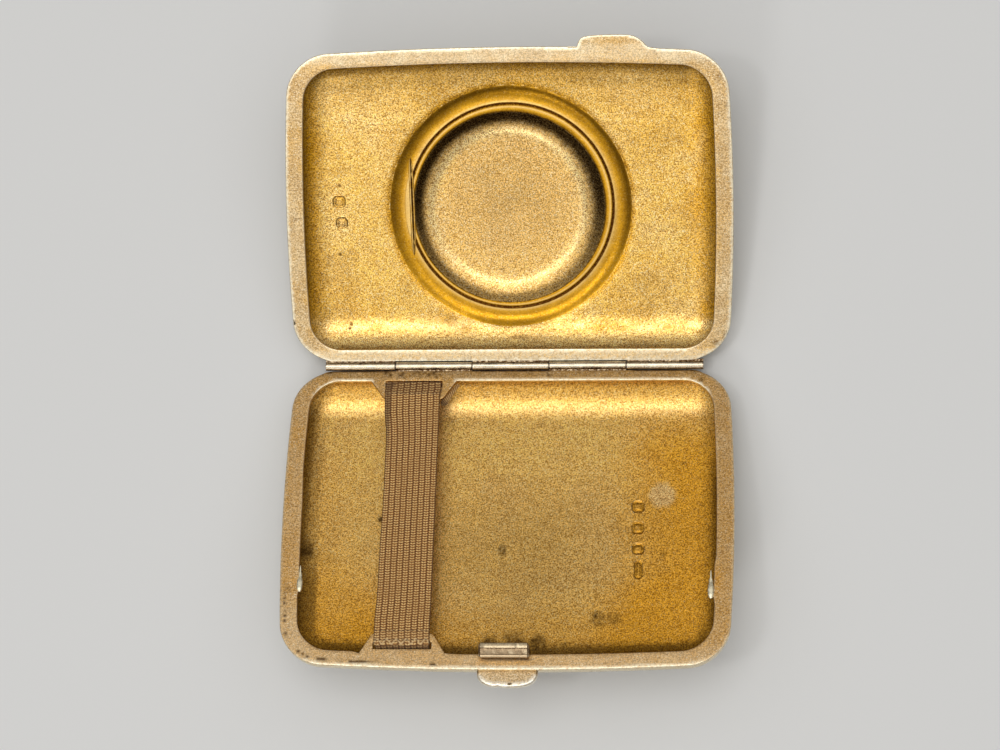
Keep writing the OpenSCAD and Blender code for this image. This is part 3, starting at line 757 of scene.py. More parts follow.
def base_frame_paint(x, v, outer, inner, z):
    """Painted values of the base frame. outer and inner are the distances from its two edges."""
    ragged = drift(x * 0.8, v * 0.8, 1.2) + 0.4 * drift(x * 0.35, v * 0.35, 8)
    seam_here = max(ease(-22, -32, x) * ease(44, 54, v), ease(-25, -28, x) * ease(60, 62, v),
                    ease(-11.4, -12.0, x) * ease(-14.8, -14.2, x) * ease(60, 62, v))
    seam = seam_here * (1 - ease(0.08, 0.24, abs(outer - 0.95 - 0.12 * ragged))) * ease(-0.25, 0.0, ragged)

    # dirt along the hinge and where the plate is chipped; painted shade on its low edges and in the hinge
    # gaps, and a painted shadow line under the catch hook
    under_hook = ease(-5.4, -4.6, x) * ease(5.9, 5.2, x) * ease(61.2, 61.8, v)
    open_side = max(ease(7.9, 7.6, abs(x)), ease(22.9, 23.2, abs(x)))
    soil_and_shade = 0.5 * ease(3.2, 1.6, v) * (0.6 + 0.5 * drift(x * 0.7, v * 1.5, 5))
    soil_and_shade += 0.8 * ease(-0.12, -0.3, z) * ease(2.0, 1.4, v)
    soil_and_shade += 0.95 * open_side * ease(1.36, 1.16, v) * ease(38.5, 38.0, abs(x))
    soil_and_shade += 0.9 * under_hook * ease(-4.4, -3.2, x) * hump(v - 62.02, 0.11)
    soil_and_shade += 0.75 * ease(3.4, 2.6, v) * ease(0.0, 0.35, drift(x * 1.3, v * 2.0, 9)) * ease(8, 5, abs(x + 21))
    soil_and_shade += max(stain(frame_chips, x, v), 0) + 0.10 * ease(-0.2, -0.7, z) + 0.10 * ease(38, 41, x)

    # edges rubbed bright, with a painted highlight along the front outer edge, but not on the tongues and
    # beside the slots
    hinge_rub = ease(0.42, 0.16, inner + 0.12 * drift(x * 0.9, v * 0.9, 2)) * ease(7.5, 5.0, v)
    bright = max(0.85 * ease(0.22, 0.05, outer) * ease(1.5, 3.0, v), 0.5 * ease(0.2, 0.04, inner),
                 1.4 * ease(0.75, 0.25, outer) * ease(61.5, 62.5, v), hinge_rub)
    tongue = ease(9.3, 8.7, abs(x - strap_x)) * ease(3.0, 3.4, v) * ease(60.6, 60.0, v)
    slot = ease(6.4, 6.0, abs(x - strap_x)) * (v < 5.2)
    bright = min(bright, 1) * (1 - max(tongue, slot))
    bright = max(bright, 0.17 * ease(57, 61, v), 0.26 * ease(46, 57, v) * ease(-34, -39, x))

    orange = 0.8 * hump(x - 41.2, 1.0, v - 45.5, 2.6) + 0.5 * hump(x + 41.6, 0.7, v - 46.0, 1.2)
    orange += 0.5 * under_hook * ease(63.6, 63.0, v)
    return min(1.4 * seam + soil_and_shade, 1), bright * (1 - seam), min(orange, 1)


rim_base = worn_gilt("rim_gilt_base", (0.72, 0.44, 0.155), (0.78, 0.53, 0.25), (0.84, 0.43, 0.06),
                     (1.0, 0.90, 0.66))
base_frame = Work()
base_loops = [up_to_tube(case_outline(0)), more_points(base_opening(), 1.2),
              slot_loop(strap_x, rear_slot), slot_loop(strap_x + strap_lean, front_slot)]
cut_plate(base_frame, base_loops, frame_z, rim_z, 0.15, 0.6, base_frame_paint, 0.025)
base_frame.finish("base_frame", in_base, [rim_base], "base", "gilt_worn", ["base_rim_frame"])

# Lid pan
# The lid is raised like the base. A round hole is turned in its floor for the small cover,
# and the floor rolls softly down into the cove there.

cup_x, cup_v, cove_r, seat_r = -0.1, 31.4, 24.4, 20.8
lid_punches = [(-34.8, 32.6, 2.5, 2.4), (-34.4, 28.3, 2.3, 2.3)]
lid_stains = [
    (-34.6, 35.9, 0.5, 0.9), (-33.0, 7.6, 0.5, 1.0), (-33.3, 6.8, 0.45, 1.0), (-34.9, 21.9, 0.5, 1.0),
    (0.9, 5.0, 0.7, 1.0), (-12.5, 8.0, 2.6, 0.45), (-9.5, 7.4, 2.0, 0.4), (28.0, 51.0, 0.3, 0.4),
    (31.0, 12.0, 0.35, 0.4), (-25.0, 50.0, 0.3, 0.5)]


def from_cup(x, v):
    """Distance from the middle of the cup."""
    return math.hypot(x - cup_x, v - cup_v)


def cove_drop_at(r):
    """How far the floor has rolled down toward the cove at distance r from the cup's middle."""
    flat_r = 25.7
    return 0.0 if r > flat_r else -0.085 * (flat_r - r) ** 2


def lid_relief(x, v):
    r = from_cup(x, v)
    return hammered(x, v, 8.3, 5) * ease(24.6, 28.0, r) + cove_drop_at(r) + punched(lid_punches, x, v)


def lid_paint(x, v, t):
    """Painted values of the lid's inside: paler and cleaner than the base, with painted shade, darker and
    orange, at the walls.
    """
    r = from_cup(x, v)
    punch = 0.65 * ease(-0.02, -0.09, punched(lid_punches, x, v))
    turned, far = ease(0.84, 0.34, t), ease(8, 20, v)
    side = ease(36, 40, abs(x)) * ease(0.75, 0.5, t)

    # pale in worn patches; painted highlight in a patch at the upper left, in a strip along the bend beside
    # the hinge and on the hinge wall
    worn = drift(x * 0.10, v * 0.10, 9) + 0.5 * drift(x * 0.35, v * 0.35, 4)
    patches = 0.55 * ease(0.0, 0.6, worn) + 0.5 * hump(x + 30, 7, v - 50, 5)
    strip = hump(v - 6.9, 1.7) * ease(-0.5, 0.3, drift(x * 0.22, v * 0.6, 3.7))
    pale = max(patches * ease(0.6, 0.9, t), 0.95 * strip * ease(0.35, 0.6, t), 0.85 * ease(7.0, 4.5, v))

    # stains, worn patches and darker toward the front; painted shade on the walls, most at the front and
    # sides, and at the edge of the cove
    soil_and_shade = 0.9 * stain(lid_stains, x, v) + 0.16 * ease(0.0, -0.5, worn) + 0.20 * ease(48, 56, v)
    soil_and_shade = max(soil_and_shade, 0.28 * hump(x + 12, 7, v - 8.0, 2.0),
               0.50 * ease(25.3, 24.5, r) * (1 - 0.8 * ease(6, -14, v - cup_v)),
               turned * (0.02 + 0.36 * far) + 0.35 * ease(0.56, 0.46, t) * far + 0.2 * side,
               0.5 * ease(0.9, 0.6, t) * ease(50, 56, v),
               0.34 * ease(36, 41, x) * ease(4, 12, v), 0.2 * ease(-38, -41, x))

    blotch = max(drift(x * 0.11, v * 0.11, 2.7), 0)
    # painted shade deepens the walls and the edge of the cove to orange; the blotches are the gilding's own
    # tone
    rich = max(0.9 * ease(25.6, 24.5, r) * (0.4 + 0.6 * far), turned * (0.2 + 0.8 * far),
               0.75 * ease(33, 42, x + 2 * blotch), 0.85 * ease(-36.5, -41.0, x))
    return min(soil_and_shade + punch * 0.5, 1), min(rich + punch + 0.5 * blotch, 1) * (1 - 0.8 * pale), pale


gilt_lid = frosted_gilt("frosted_gilt_lid", (1.0, 0.64, 0.155), (0.86, 0.55, 0.16), (0.90, 0.47, 0.018),
                        (1.0, 0.85, 0.46), pale_and_highlight_colour=(1.0, 0.67, 0.25))
lid_pan = Work()
lid_soft, lid_reach = 8.2, 4.6
lid_dense = [(-36.6, 26.4, -32.6, 36.8, 0.13), (-34.2, 5.6, -32.0, 8.6, 0.16),
             (-35.7, 21.1, -34.1, 22.7, 0.16), (0.1, 4.8, 1.7, 5.6, 0.16)]
raise_pan(lid_pan, lid_soft, lid_reach, lid_paint, lid_relief, lid_dense, (cove_r, cup_x, cup_v))
lid_pan.finish("lid_pan", in_lid, [gilt_lid, outer_skin], "lid", "gilt_frosted", ["lid_shell"])

# Lid rim frame
# A flat plate like the base's, with the thumb tab in one piece with it.
# Its gilding is rubbed to pale silver on the flats and bright along the edges, with a painted highlight along
# the outer edge.

tab_x, tab_w, tab_out = 14.1, 13.8, 2.5


def front_at(x):
    return bowed((x, case_l))[1]


def lid_outline():
    """The lid's outline with the tab let in. The tab's points are shares of its width and height."""
    share = [(-0.012, -0.02), (0.004, 0.22), (0.02, 0.48), (0.05, 0.72), (0.1, 0.86), (0.17, 0.93),
             (0.26, 0.965), (0.37, 0.99), (0.48, 1.0), (0.58, 1.0), (0.68, 0.985), (0.75, 0.95),
             (0.82, 0.85), (0.88, 0.68), (0.94, 0.42), (0.985, 0.14), (1.02, -0.02)]
    foot = front_at(tab_x + tab_w / 2)
    tab = [(tab_x + tab_w * a, foot + tab_out * b) for a, b in share][::-1]
    return let_in(case_outline(0), tab, lambda x, v: v > 50 and tab_x - 0.4 < x < tab_x + tab_w + 0.5)


lid_frame_stains = [(42.3, 57.5, 0.8, 0.5), (43.4, 52.0, 0.6, 0.4), (41.0, 4.5, 0.9, 0.6),
                    (43.0, 6.0, 0.8, 0.6), (20.0, 63.4, 0.4, 0.4), (-42.8, 30.0, 0.5, 0.35)]


def lid_frame_paint(x, v, outer, inner, z):
    """Painted values of the lid frame. outer and inner are the distances from its two edges."""
    # edges rubbed bright, with a painted highlight along the outer edge
    bright = max(0.95 * ease(0.5, 0.12, outer), 0.75 * ease(0.2, 0.05, inner),
                 0.6 * ease(-0.1, 0.4, drift(x * 0.7, v * 0.7, 4)) * ease(0.9, 0.3, outer))
    bright += 0.45 * ease(3.7, 3.1, v) + 0.25 * ease(60, 61.5, v) * ease(64.6, 64.0, v)
    bright += 0.4 * ease(0.45, 0.2, inner) * ease(4.5, 3.0, v)
    # dirt and stains, with painted shade on the low edges and beside the base's knuckles
    soil_and_shade = 0.35 * ease(2.1, 1.3, v) * ease(-0.2, 0.3, drift(x * 0.5, 1.0, 2))
    soil_and_shade += 0.9 * ease(-0.12, -0.3, z) * ease(2.0, 1.4, v)
    soil_and_shade += 0.95 * ease(7.6, 7.9, abs(x)) * ease(23.2, 22.9, abs(x)) * ease(1.36, 1.16, v)
    soil_and_shade += stain(lid_frame_stains, x, v) + 0.10 * ease(-0.2, -0.7, z) + 0.07 * ease(-38, -42, x)
    orange = 0.3 * ease(0.0, 0.5, drift(x * 0.12, v * 0.12, 6)) + 0.75 * ease(4.0, 3.0, v)
    orange += 0.7 * ease(1.5, 0.3, inner) * ease(-0.2, 0.4, drift(x * 0.3, v * 0.3, 3)) * ease(4, 6, v)
    return min(soil_and_shade, 1), min(bright, 1), min(orange, 1)


rim_lid = worn_gilt("rim_gilt_lid", (0.68, 0.475, 0.225), (0.82, 0.65, 0.39), (0.82, 0.51, 0.14),
                    (1.0, 0.92, 0.70))
lid_frame = Work()
lid_loops = [up_to_tube(more_points(lid_outline(), 1.2)), frame_opening(2.2)]
cut_plate(lid_frame, lid_loops, frame_z, rim_z, 0.17, 0.6, lid_frame_paint, 0.03)
lid_frame.finish("lid_frame", in_lid, [rim_lid], "lid", "gilt_worn", ["lid_rim_frame"])

# Main hinge
# Five knuckles rolled from strip, three soldered to the lid and two to the base, on one pin.
# Each tube shows the seam where the strip meets itself, its top is painted light as a highlight, and its
# sides, underside and the grooves beside it are painted dark as painted shade.

tube_r, pin_r, pin_play, leaf_low = 0.85, 0.4, 0.03, -0.65
knuckle_step, knuckle_gap, left_trim, hinge_start = 15.5, 0.12, 1.3, -38.95
around_tube = 72


def worn_silver(name, pale, dull, by_object=False, rough=(0.18, 0.4), rubbed_and_highlit=(1.0, 0.93, 0.79)):
    """Bare silver, bright where it is rubbed. Painted X is dirt and painted shade, Y the rubbed bright edge
    and painted highlight.
    """
    f = Finish(name)
    if by_object:
        f.by_object()
    speck = f.grain(3.5, 3.0, 0.75)
    cloud = f.grain(0.5, 4.0, 0.7)
    crumb = f.grain(1.8, 4.0, 0.75)
    colour = f.blend(f.spread(cloud, 0.4, 0.72, 0.0, 0.75), pale, dull)
    colour = f.blend(f.spread(speck, 0.6, 0.76, 0.0, 0.5), colour, (0.18, 0.11, 0.05))
    if not by_object:
        soil_and_shade = f.compute("MULTIPLY", f.painted[0], f.spread(crumb, 0.32, 0.58, 0.25, 1.0))
        colour = f.blend(soil_and_shade, colour, (0.055, 0.022, 0.006))
        bright = f.compute("MULTIPLY", f.painted[1], f.spread(crumb, 0.3, 0.6, 0.4, 1.0))
        colour = f.blend(bright, colour, rubbed_and_highlit)
    colour = f.blend(1.0, colour, f.spread(speck, 0.3, 0.62, 0.62, 1.0), "MULTIPLY")
    f.relief((crumb, 0.35, 0.04), (speck, 0.6, 0.02))
    return f.set(colour, f.spread(speck, 0.3, 0.7, *rough), 1.0)


def signed_turn(t):
    """The same angle, between minus and plus half a turn."""
    return (t + math.pi) % (2 * math.pi) - math.pi


def tube_section():
    """Section of a rolled tube with its leaf toward +v: (v, z, angle from the seam) round it."""
    seam, leaf_from = math.radians(150), -0.9
    leaf_top, leaf_corner = math.atan2(rim_z - 0.02, rear_v), math.atan2(leaf_low, rear_v)
    section = []
    for i in range(around_tube):
        t = 2 * math.pi * i / around_tube
        angle, near = signed_turn(t), abs(signed_turn(t - seam))
        r = tube_r - 0.1 * (1 - ease(0.02, 0.16, near))
        v, z = r * math.cos(t), r * math.sin(t)
        if leaf_corner < angle <= leaf_top:
            v, z = rear_v, rear_v * math.tan(angle)
        elif leaf_from < angle <= leaf_corner and math.hypot(leaf_low / math.tan(angle), leaf_low) > r:
            v, z = leaf_low / math.tan(angle), leaf_low
        section.append((v, z, near))
    return section


def tube_soil_and_shade(x, v, z, near, end, index):
    """Dirt in the seam, at the ends and in spots, and painted shade on the sides and underside where the tube
    runs close to both frames.
    """
    soil_and_shade = 0.9 * (1 - ease(0.05, 0.2, near)) + 0.25 * (1 - ease(0.0, 0.25, end))
    soil_and_shade += 0.6 * ease(0.05, 0.4, drift(x * 0.8, v * 1.5, 3.0 + z))
    soil_and_shade += 0.5 * ease(0.2, 0.5, drift(x * 2.6, v * 3.0, z + 6.0))
    soil_and_shade += 0.62 * ease(0.50, 0.72, v) + 0.6 * ease(-0.48, -0.72, v)
    soil_and_shade += 0.9 * ease(0.45, 0.05, z) * ease(-0.4, -0.05, z) + 0.25 * ease(0, -0.4, z)
    soil_and_shade += 0.6 * (index == 2) * hump(x + 4.5, 1.5)
    return min(soil_and_shade, 1)


def roll_knuckle(index, half, side):
    """One knuckle: a rolled tube with a leaf, closed on a seam on the far side, its ends rounded."""
    trim = left_trim if index == 0 else 0.0
    x0 = hinge_start + index * knuckle_step + trim + knuckle_gap / 2
    long = knuckle_step - trim - knuckle_gap
    x1 = x0 + long
    bore = pin_r if half == "base" else pin_r + pin_play
    rounding = [(0.0, 0.06), (0.03, 0.02), (0.09, 0.0)]
    stations = rounding + [(0.35 + (long - 0.7) * i / 24, 0.0) for i in range(25)]
    stations += [(long - s, shrink) for s, shrink in rounding[::-1]]
    work = Work()
    rings, painted = [], []
    for s, shrink in stations:
        x, end = x0 + s, min(s, long - s)
        ring, paint = [], []
        for v, z, near in tube_section():
            d = math.hypot(v, z)
            k = (d - shrink) / d if v < tube_r + 0.01 else 1.0
            dent = 0.018 * drift(x * 0.45, v * 0.8, z * 0.8 + index)
            ring.append((x, v * k, z * k + dent))
            # painted highlight on the top of the tube
            paint.append((tube_soil_and_shade(x, v, z, near, end, index), 0.6 * ease(0.5, 0.8, z), 0.0))
        rings.append(ring)
        painted.append(paint)
    work.rings(rings, 0, painted)
    bores = [[(x, v, z) for v, z in circle(bore, around_tube)] for x in (x0, x1)]
    for ring, hole in zip((rings[0], rings[-1]), bores):
        work.rings([ring, hole], 0, [[(0.6, 0, 0)] * around_tube, [(0.9, 0, 0)] * around_tube])
    work.rings(bores, 0, [[(0.9, 0, 0)] * around_tube] * 2)
    node = half + "_knuckle_" + side
    place = in_lid if half == "lid" else in_base
    work.finish("rolled_" + node, place, [hinge_silver], half, "silver_worn", [node], 50)


def dress(name, finish):
    """A solid kept from the CAD gets its finish."""
    kept = frame["nodes"][name]
    kept.data.materials.clear()
    kept.data.materials.append(finish)


hinge_silver = worn_silver("hinge_silver", (0.88, 0.71, 0.47), (0.50, 0.33, 0.15), rough=(0.24, 0.44),
                           rubbed_and_highlit=(1.0, 0.90, 0.72))
for index, (half, side) in enumerate((("lid", "left"), ("base", "left"), ("lid", "middle"),
                                      ("base", "right"), ("lid", "right"))):
    roll_knuckle(index, half, side)

pin_silver = worn_silver("pin_silver", (0.74, 0.70, 0.62), (0.38, 0.32, 0.24), True, (0.3, 0.5))
dress("hinge_pin", pin_silver)
dress("cover_pin", pin_silver)

# Elastic
# A woven elastic tape of nine cords, brown with age. It passes through both slots, lies over
# the tongues, and its ends are turned under and sewn across with thread.

# (v, z) of the middle of the tape, from one turned end to the other
strap_path = [(6.6, -1.25), (3.72, -1.25), (3.72, 0.4), (59.33, 0.4), (59.33, -1.25), (56.4, -1.25)]


def round_path(corners, r, step):
    """Points about step apart along a bent line with round corners of radius r."""
    line = []
    for i in range(1, len(corners) - 1):
        a, b, c = (Vector(corners[k]) for k in (i - 1, i, i + 1))
        u, w = (a - b).normalized(), (c - b).normalized()
        start = a if i == 1 else line[-1]
        p, q = b + u * r, b + w * r
        n = max(1, round((p - start).length / step))
        line += [start.lerp(p, k / n) for k in range(n)]
        centre = b + (u + w) * r
        for k in range(7):
            t = k / 7 * math.pi / 2
            line.append(centre - w * r * math.cos(t) - u * r * math.sin(t))
        line.append(q)
    n = max(1, round((Vector(corners[-1]) - line[-1]).length / step))
    last = line[-1]
    line += [last.lerp(Vector(corners[-1]), k / n) for k in range(1, n + 1)]
    return line


def woven_elastic(name):
    """Brown elastic. Painted X is how high the thread stands, Y is dark folds, seams and painted shade, Z is
    light thread.
    """
    f = Finish(name)
    fuzz = f.grain(5.0, 3.0, 0.8)
    twist = f.grain(2.2, 3.0, 0.7, (1.0, 0.6, 1.0))
    cloud = f.grain(0.3, 3.0, 0.6)
    high = f.compute("ADD", f.painted[0], f.spread(fuzz, 0.3, 0.7, -0.14, 0.14))
    colour = f.blend(f.spread(high, 0.08, 0.36), (0.080, 0.028, 0.005), (0.48, 0.205, 0.042))
    colour = f.blend(f.spread(high, 0.42, 0.74), colour, (1.0, 0.70, 0.29))
    colour = f.blend(f.spread(cloud, 0.4, 0.7, 0.0, 0.3), colour, (0.38, 0.18, 0.045))
    colour = f.blend(f.spread(twist, 0.55, 0.8, 0.0, 0.3), colour, (0.70, 0.43, 0.17))
    colour = f.blend(f.painted[2], colour, (0.80, 0.56, 0.28))
    colour = f.blend(f.painted[1], colour, (0.06, 0.024, 0.006))
    f.skin.inputs["Sheen Weight"].default_value = 0.08
    f.skin.inputs["Sheen Roughness"].default_value = 0.5
    f.relief((f.painted[0], 1.0, 0.10), (twist, 0.6, 0.06), (fuzz, 0.8, 0.03))
    return f.set(colour, 0.85, 0.0)


def strap_height(u, s):
    """Thread height on the tape: u across a cord from 0 to 1, s along in millimetres."""
    cord = math.sin(math.pi * min(max(u, 0), 1)) ** 0.5 * (1 - 0.55 * hump(u - 0.5, 0.10))
    chevron = s / 0.52 + 0.30 * abs(2 * u - 1)
    loop = (0.5 - 0.5 * math.cos(2 * math.pi * chevron)) ** 1.1
    return cord * (0.16 + 0.84 * loop)


def strap_edges(v, on_top, travelled):
    """How far the tape reaches to the left and to the right of its middle."""
    ripple = 0.06 * drift(travelled * 0.6, 2, 2)
    left, right = 5.25 + ripple, 5.3 - ripple
    if v < 6.2 or not on_top:
        left += 0.32 * ease(6.2, 5.2, v)
        right += 0.28 * ease(6.2, 5.2, v)
    if on_top:
        left += 0.42 * ease(4.6, 6.2, v) * ease(16, 8, v) - 0.22 * ease(9, 17, v) * ease(44, 26, v)
        left += 0.30 * ease(46, 56, v)
        right += 0.12 * ease(58, 50, v) * ease(4, 8, v) + 0.1 * ease(56, 59, v)
    return left, right


def strap_tones(x, v, height, edge, sewn, stitch, on_top, upper):
    """Painted values of the tape: thread height, dark folds and seams with painted shade at its edges and
    under the tongues, and light thread.
    """
    needle = 0.5 * math.sin(x * 7.0)
    # dark seams, and painted shade along both edges and down the left side near the hinge
    dark = max(0.85 * sewn * (0.5 + needle), 0.75 * (1 - edge) ** 2,
               0.6 * ease(-4.1, -4.8, x) * ease(28, 10, v))
    if on_top and v < 6.1:
        dark = max(dark, 0.35 + 0.35 * ease(-3.4, -4.4, x + 0.6 * (v - 4.5)))
    # painted shade on the tape under the tongues
    if not on_top:
        dark = max(dark, 0.65)
    light = max(0.9 * stitch, 0.35 * sewn * (0.5 - needle), 0.3 * ease(56.0, 57.5, v) * height)
    return height if upper else 0.4, dark, light * upper


def weave_strap():
    """The tape as one closed skin, ring by ring along its path."""
    work = Work()
    line = round_path(strap_path, 0.5, 0.085)
    cords, across, seams, zigzag_v = 9, 10, (6.2, 56.3, 58.2), 57.9
    columns = cords * across
    travelled = 0.0
    rings, painted = [], []
    for i, p in enumerate(line):
        along = (line[min(i + 1, len(line) - 1)] - line[max(i - 1, 0)]).normalized()
        up = Vector((-along.y, along.x))
        if i:
            travelled += (p - line[i - 1]).length
        v, on_top = p.x, p.y > 0.3
        left, right = strap_edges(v, on_top, travelled)
        sag = -0.05 * math.sin(math.pi * min(max((v - 6) / 50, 0), 1))
        lean = strap_lean * (v - rear_slot) / (front_slot - rear_slot)
        sewn = max(1 - ease(0.06, 0.2, abs(v - seam)) for seam in seams) if on_top else 0.0
        ring, paint = [], []
        for side in (1, -1):
            for c in range(columns + 1)[::side]:
                cord, u = divmod(c, across)
                x = -left + (left + right) * c / columns
                height = strap_height(u / across, travelled + 0.11 * cord) if cord < cords else 0.0
                edge = ease(0.0, 0.35, min(x + left, right - x))
                rise = 0.08 + (0.11 + 0.17 * height * (1 - 0.5 * sewn)) * edge
                stitch = 0.0
                if on_top and v > zigzag_v:
                    zigzag = abs(((x + 40) / 1.9) % 1 * 2 - 1)
                    stitch = 1 - ease(0.08, 0.26, abs((v - zigzag_v) / 1.2 - zigzag))
                lift = side * rise
                ring.append((strap_x + lean + x, v + lift * up.x, p.y + lift * up.y + sag + 0.03 * stitch))
                paint.append(strap_tones(x, v, height, edge, sewn, stitch, on_top, side == 1))
        rings.append(ring)
        painted.append(paint)
    work.rings(rings, 0, painted)
    n = len(rings[0])
    # painted shade on the end faces inside the slots
    for ring in (rings[0], rings[-1]):
        faces = [(i, i + 1, n - 2 - i, n - 1 - i) for i in range(n // 2 - 1)]
        work.add(ring, faces, 0, [(0.2, 0.7, 0.0)] * n)
    work.finish("woven_strap", in_base, [elastic], "base", "elastic", ["elastic_strap"], 60)


def close_ends(work, rings, paint):
    """A flat face over each open end of a row of rings."""
    for ring in (rings[0], rings[-1]):
        work.add(ring, [tuple(range(len(ring)))], 0, [paint] * len(ring))


def strap_tail():
    """The turned-in end of the tape that shows beside the rear tongue, and its curled tip."""
    work = Work()
    # x, v, z, half width and half thickness
    spine = [(-10.7, 3.6, -0.95, 0.35, 0.16), (-11.6, 4.9, -1.0, 0.42, 0.18), (-12.5, 6.2, -1.05, 0.45, 0.2),
             (-13.3, 7.3, -1.05, 0.75, 0.38), (-13.9, 8.3, -0.95, 0.5, 0.22)]
    stations, threads = 41, 20
    rings, painted = [], []
    for i in range(stations):
        t = i / (stations - 1) * (len(spine) - 1)
        k = min(int(t), len(spine) - 2)
        x, v, z, wide, thick = (a + (b - a) * (t - k) for a, b in zip(spine[k], spine[k + 1]))
        closing = ease(4.0, 3.6, t) * 0.9 + 0.1
        along = (Vector(spine[k + 1][:3]) - Vector(spine[k][:3])).normalized()
        ring, paint = [], []
        for j in range(threads):
            q = 2 * math.pi * j / threads
            r = closing * (1 + 0.12 * math.sin(i * 1.9 + j) + 0.1 * drift(x * 2, v * 2, j * 0.4))
            out = wide * r * math.cos(q)
            ring.append((x + along.y * out, v - along.x * out, z + thick * r * math.sin(q)))
            # painted shade under the tongue, darker toward the curled tip
            paint.append((0.5 + 0.4 * math.sin(i * 1.9 + j), 0.35 + 0.45 * ease(2.4, 3.4, t), 0.0))
        rings.append(ring)
        painted.append(paint)
    work.rings(rings, 0, painted)
    close_ends(work, rings, (0.3, 0.6, 0))
    work.finish("strap_tail", in_base, [elastic], "base", "elastic", sharp=80)


elastic = woven_elastic("brown_elastic")
weave_strap()
strap_tail()

# Thumb push
# A half-oval of silver gilt that stands out of the front wall, under the rim frame. Its
# upper edge is worn round and bright, and it has a small nick.

push_x, push_w, push_out, push_top, push_low = 0.8, 11.8, 3.2, -0.95, -2.05


def push_loop():
    """Half oval with a flat root inside the wall and a small nick at its edge."""
    w, wall_v, steps = push_w / 2, case_l + 0.2, 36
    line = [(push_x - w, 61.5), (push_x + w, 61.5)]
    for i in range(steps + 1):
        t = math.pi * i / steps
        c = math.cos(t)
        x = w * math.copysign(abs(c) ** 0.7, c)
        v = wall_v + (push_out - 0.2) * math.sin(t) ** 0.8
        v -= 0.22 * hump(x + 1.6, 0.45) * (v > 65)
        line.append((push_x + x, v))
    return more_points(line, 0.6)


def push_paint(x, v, outer, inner, z):
    rub = 0.95 * ease(1.15, 0.45, outer + 0.22 * drift(x * 0.9, v * 0.9, 2)) * ease(64.3, 65.2, v)
    soil_and_shade = 0.85 * ease(64.35, 64.0, v) * ease(62, 63.4, v) + 0.2 * ease(-1.0, -1.8, z)
    nick = 0.5 * hump(x - push_x + 1.9, 0.35, v - 66.1, 0.3)
    return min(soil_and_shade + nick, 1), rub, 0.15 * drift(x * 0.4, v * 0.4, 1) + 0.1


push = Work()
cut_plate(push, [push_loop()], push_low, push_top, 0.42, 0.4, push_paint, 0.03, 0.2, 6)
rim_push = worn_gilt("rubbed_push", (0.80, 0.61, 0.36), (0.92, 0.76, 0.50), (0.80, 0.52, 0.22),
                     (1.0, 0.95, 0.82))
push.finish("rubbed_thumb_push", in_base, [rim_push], "catch", "gilt_worn", ["thumb_push"])

# Catch hook
# A short block filed from bar, standing inside the front of the base. Its nose slopes down
# over the edge of the lid frame when the case is shut. Its ends are chamfered.

hook_x, hook_w = 0.2, 9.8
# (v, z) round the block, from its foot over the top and down the nose
hook_side = [(59.24, -0.95), (59.2, -0.6), (59.2, 1.95), (59.26, 2.05), (59.36, 2.1), (60.18, 2.1),
             (60.26, 2.06), (60.3, 1.98), (60.36, 1.93), (60.46, 1.91), (61.05, 1.55), (61.42, 1.36),
             (61.48, 1.27), (61.56, 1.25), (61.78, 1.18), (61.88, 1.1), (61.9, 1.0), (61.88, 0.88),
             (61.8, 0.85), (60.62, 0.85), (60.6, 0.82), (60.6, -0.95)]


def hook_paint(x, v, z):
    """Bright on the top band, on the filed slope's edge and at the ends, dark in two grooves."""
    end = hook_w / 2 - abs(x - hook_x)
    scar = x - hook_x - 4.3
    # painted highlight on the top band and along the slope
    bright = ease(59.2, 59.4, v) * ease(60.3, 60.15, v) + 0.5 * ease(0.3, 0.1, end)
    bright += 0.35 * ease(61.4, 61.6, v) * ease(0.8, 1.1, z)
    bright += 0.9 * ease(60.8, 61.1, v) * ease(61.45, 61.3, v) * ease(-0.1, 0.3, drift(x * 0.9, 3, 3))
    bright += ease(60.45, 60.6, v) * ease(61.45, 61.3, v) * hump(scar, 0.35)
    groove = 0.95 * hump(v - 60.36, 0.12) + 0.75 * hump(v - 61.46, 0.09)
    mottle = 0.5 + 0.8 * drift(x * 1.7, v * 1.5, 8)
    slope = mottle * ease(60.45, 60.6, v) * ease(61.2, 60.95, v) * (abs(scar) > 0.5)
    # painted shade on the part below the nose
    soil_and_shade = groove + slope + 0.8 * ease(0.9, 0.5, z) + 0.25 * ease(61.5, 61.9, v)
    return min(soil_and_shade, 1), min(bright, 1) * (1 - min(groove + slope, 1)) * ease(0.6, 1.0, z), 0.0


hook = Work()
rings = []
chamfer = [0.0, 0.06, 0.18, 0.34]
stations = chamfer + [0.6 + (hook_w - 1.2) * i / 22 for i in range(23)] + [hook_w - s for s in chamfer[::-1]]
for s in stations:
    cut = 0.34 * (1 - ease(0.0, 0.34, min(s, hook_w - s)))
    x = hook_x - hook_w / 2 + s
    ring = []
    for v, z in hook_side:
        worn = 0.02 * drift(x * 1.1, v * 2, z * 2)
        shift = cut if v < 60.0 else -cut
        drop = cut * 1.1 * ease(0.95, 1.5, z)
        ring.append((x, v + shift * (0.7 if z > 0 else 0.3), z - drop + worn * (z > 1.0)))
    rings.append(ring)
hook.rings(rings, 0, [[hook_paint(*p) for p in ring] for ring in rings])
for ring in (rings[0], rings[-1]):
    hook.add(ring, [tuple(range(len(ring)))], 0, [hook_paint(*p) for p in ring])
hook_silver = worn_silver("hook_silver", (0.55, 0.40, 0.24), (0.34, 0.22, 0.12), rough=(0.30, 0.46),
                          rubbed_and_highlit=(0.88, 0.72, 0.47))
hook.finish("filed_hook", in_base, [hook_silver], "catch", "gilt_worn", ["catch_hook"], 28)

# Catch spring and its keepers
# A flat steel spring runs under the frame inside the front wall and back along both sides.
# Each of its ends is held by a drop of solder drawn out along the edge of the frame.

steel = worn_silver("spring_steel", (0.50, 0.47, 0.42), (0.28, 0.20, 0.12), True, (0.28, 0.45))
dress("catch_spring", steel)


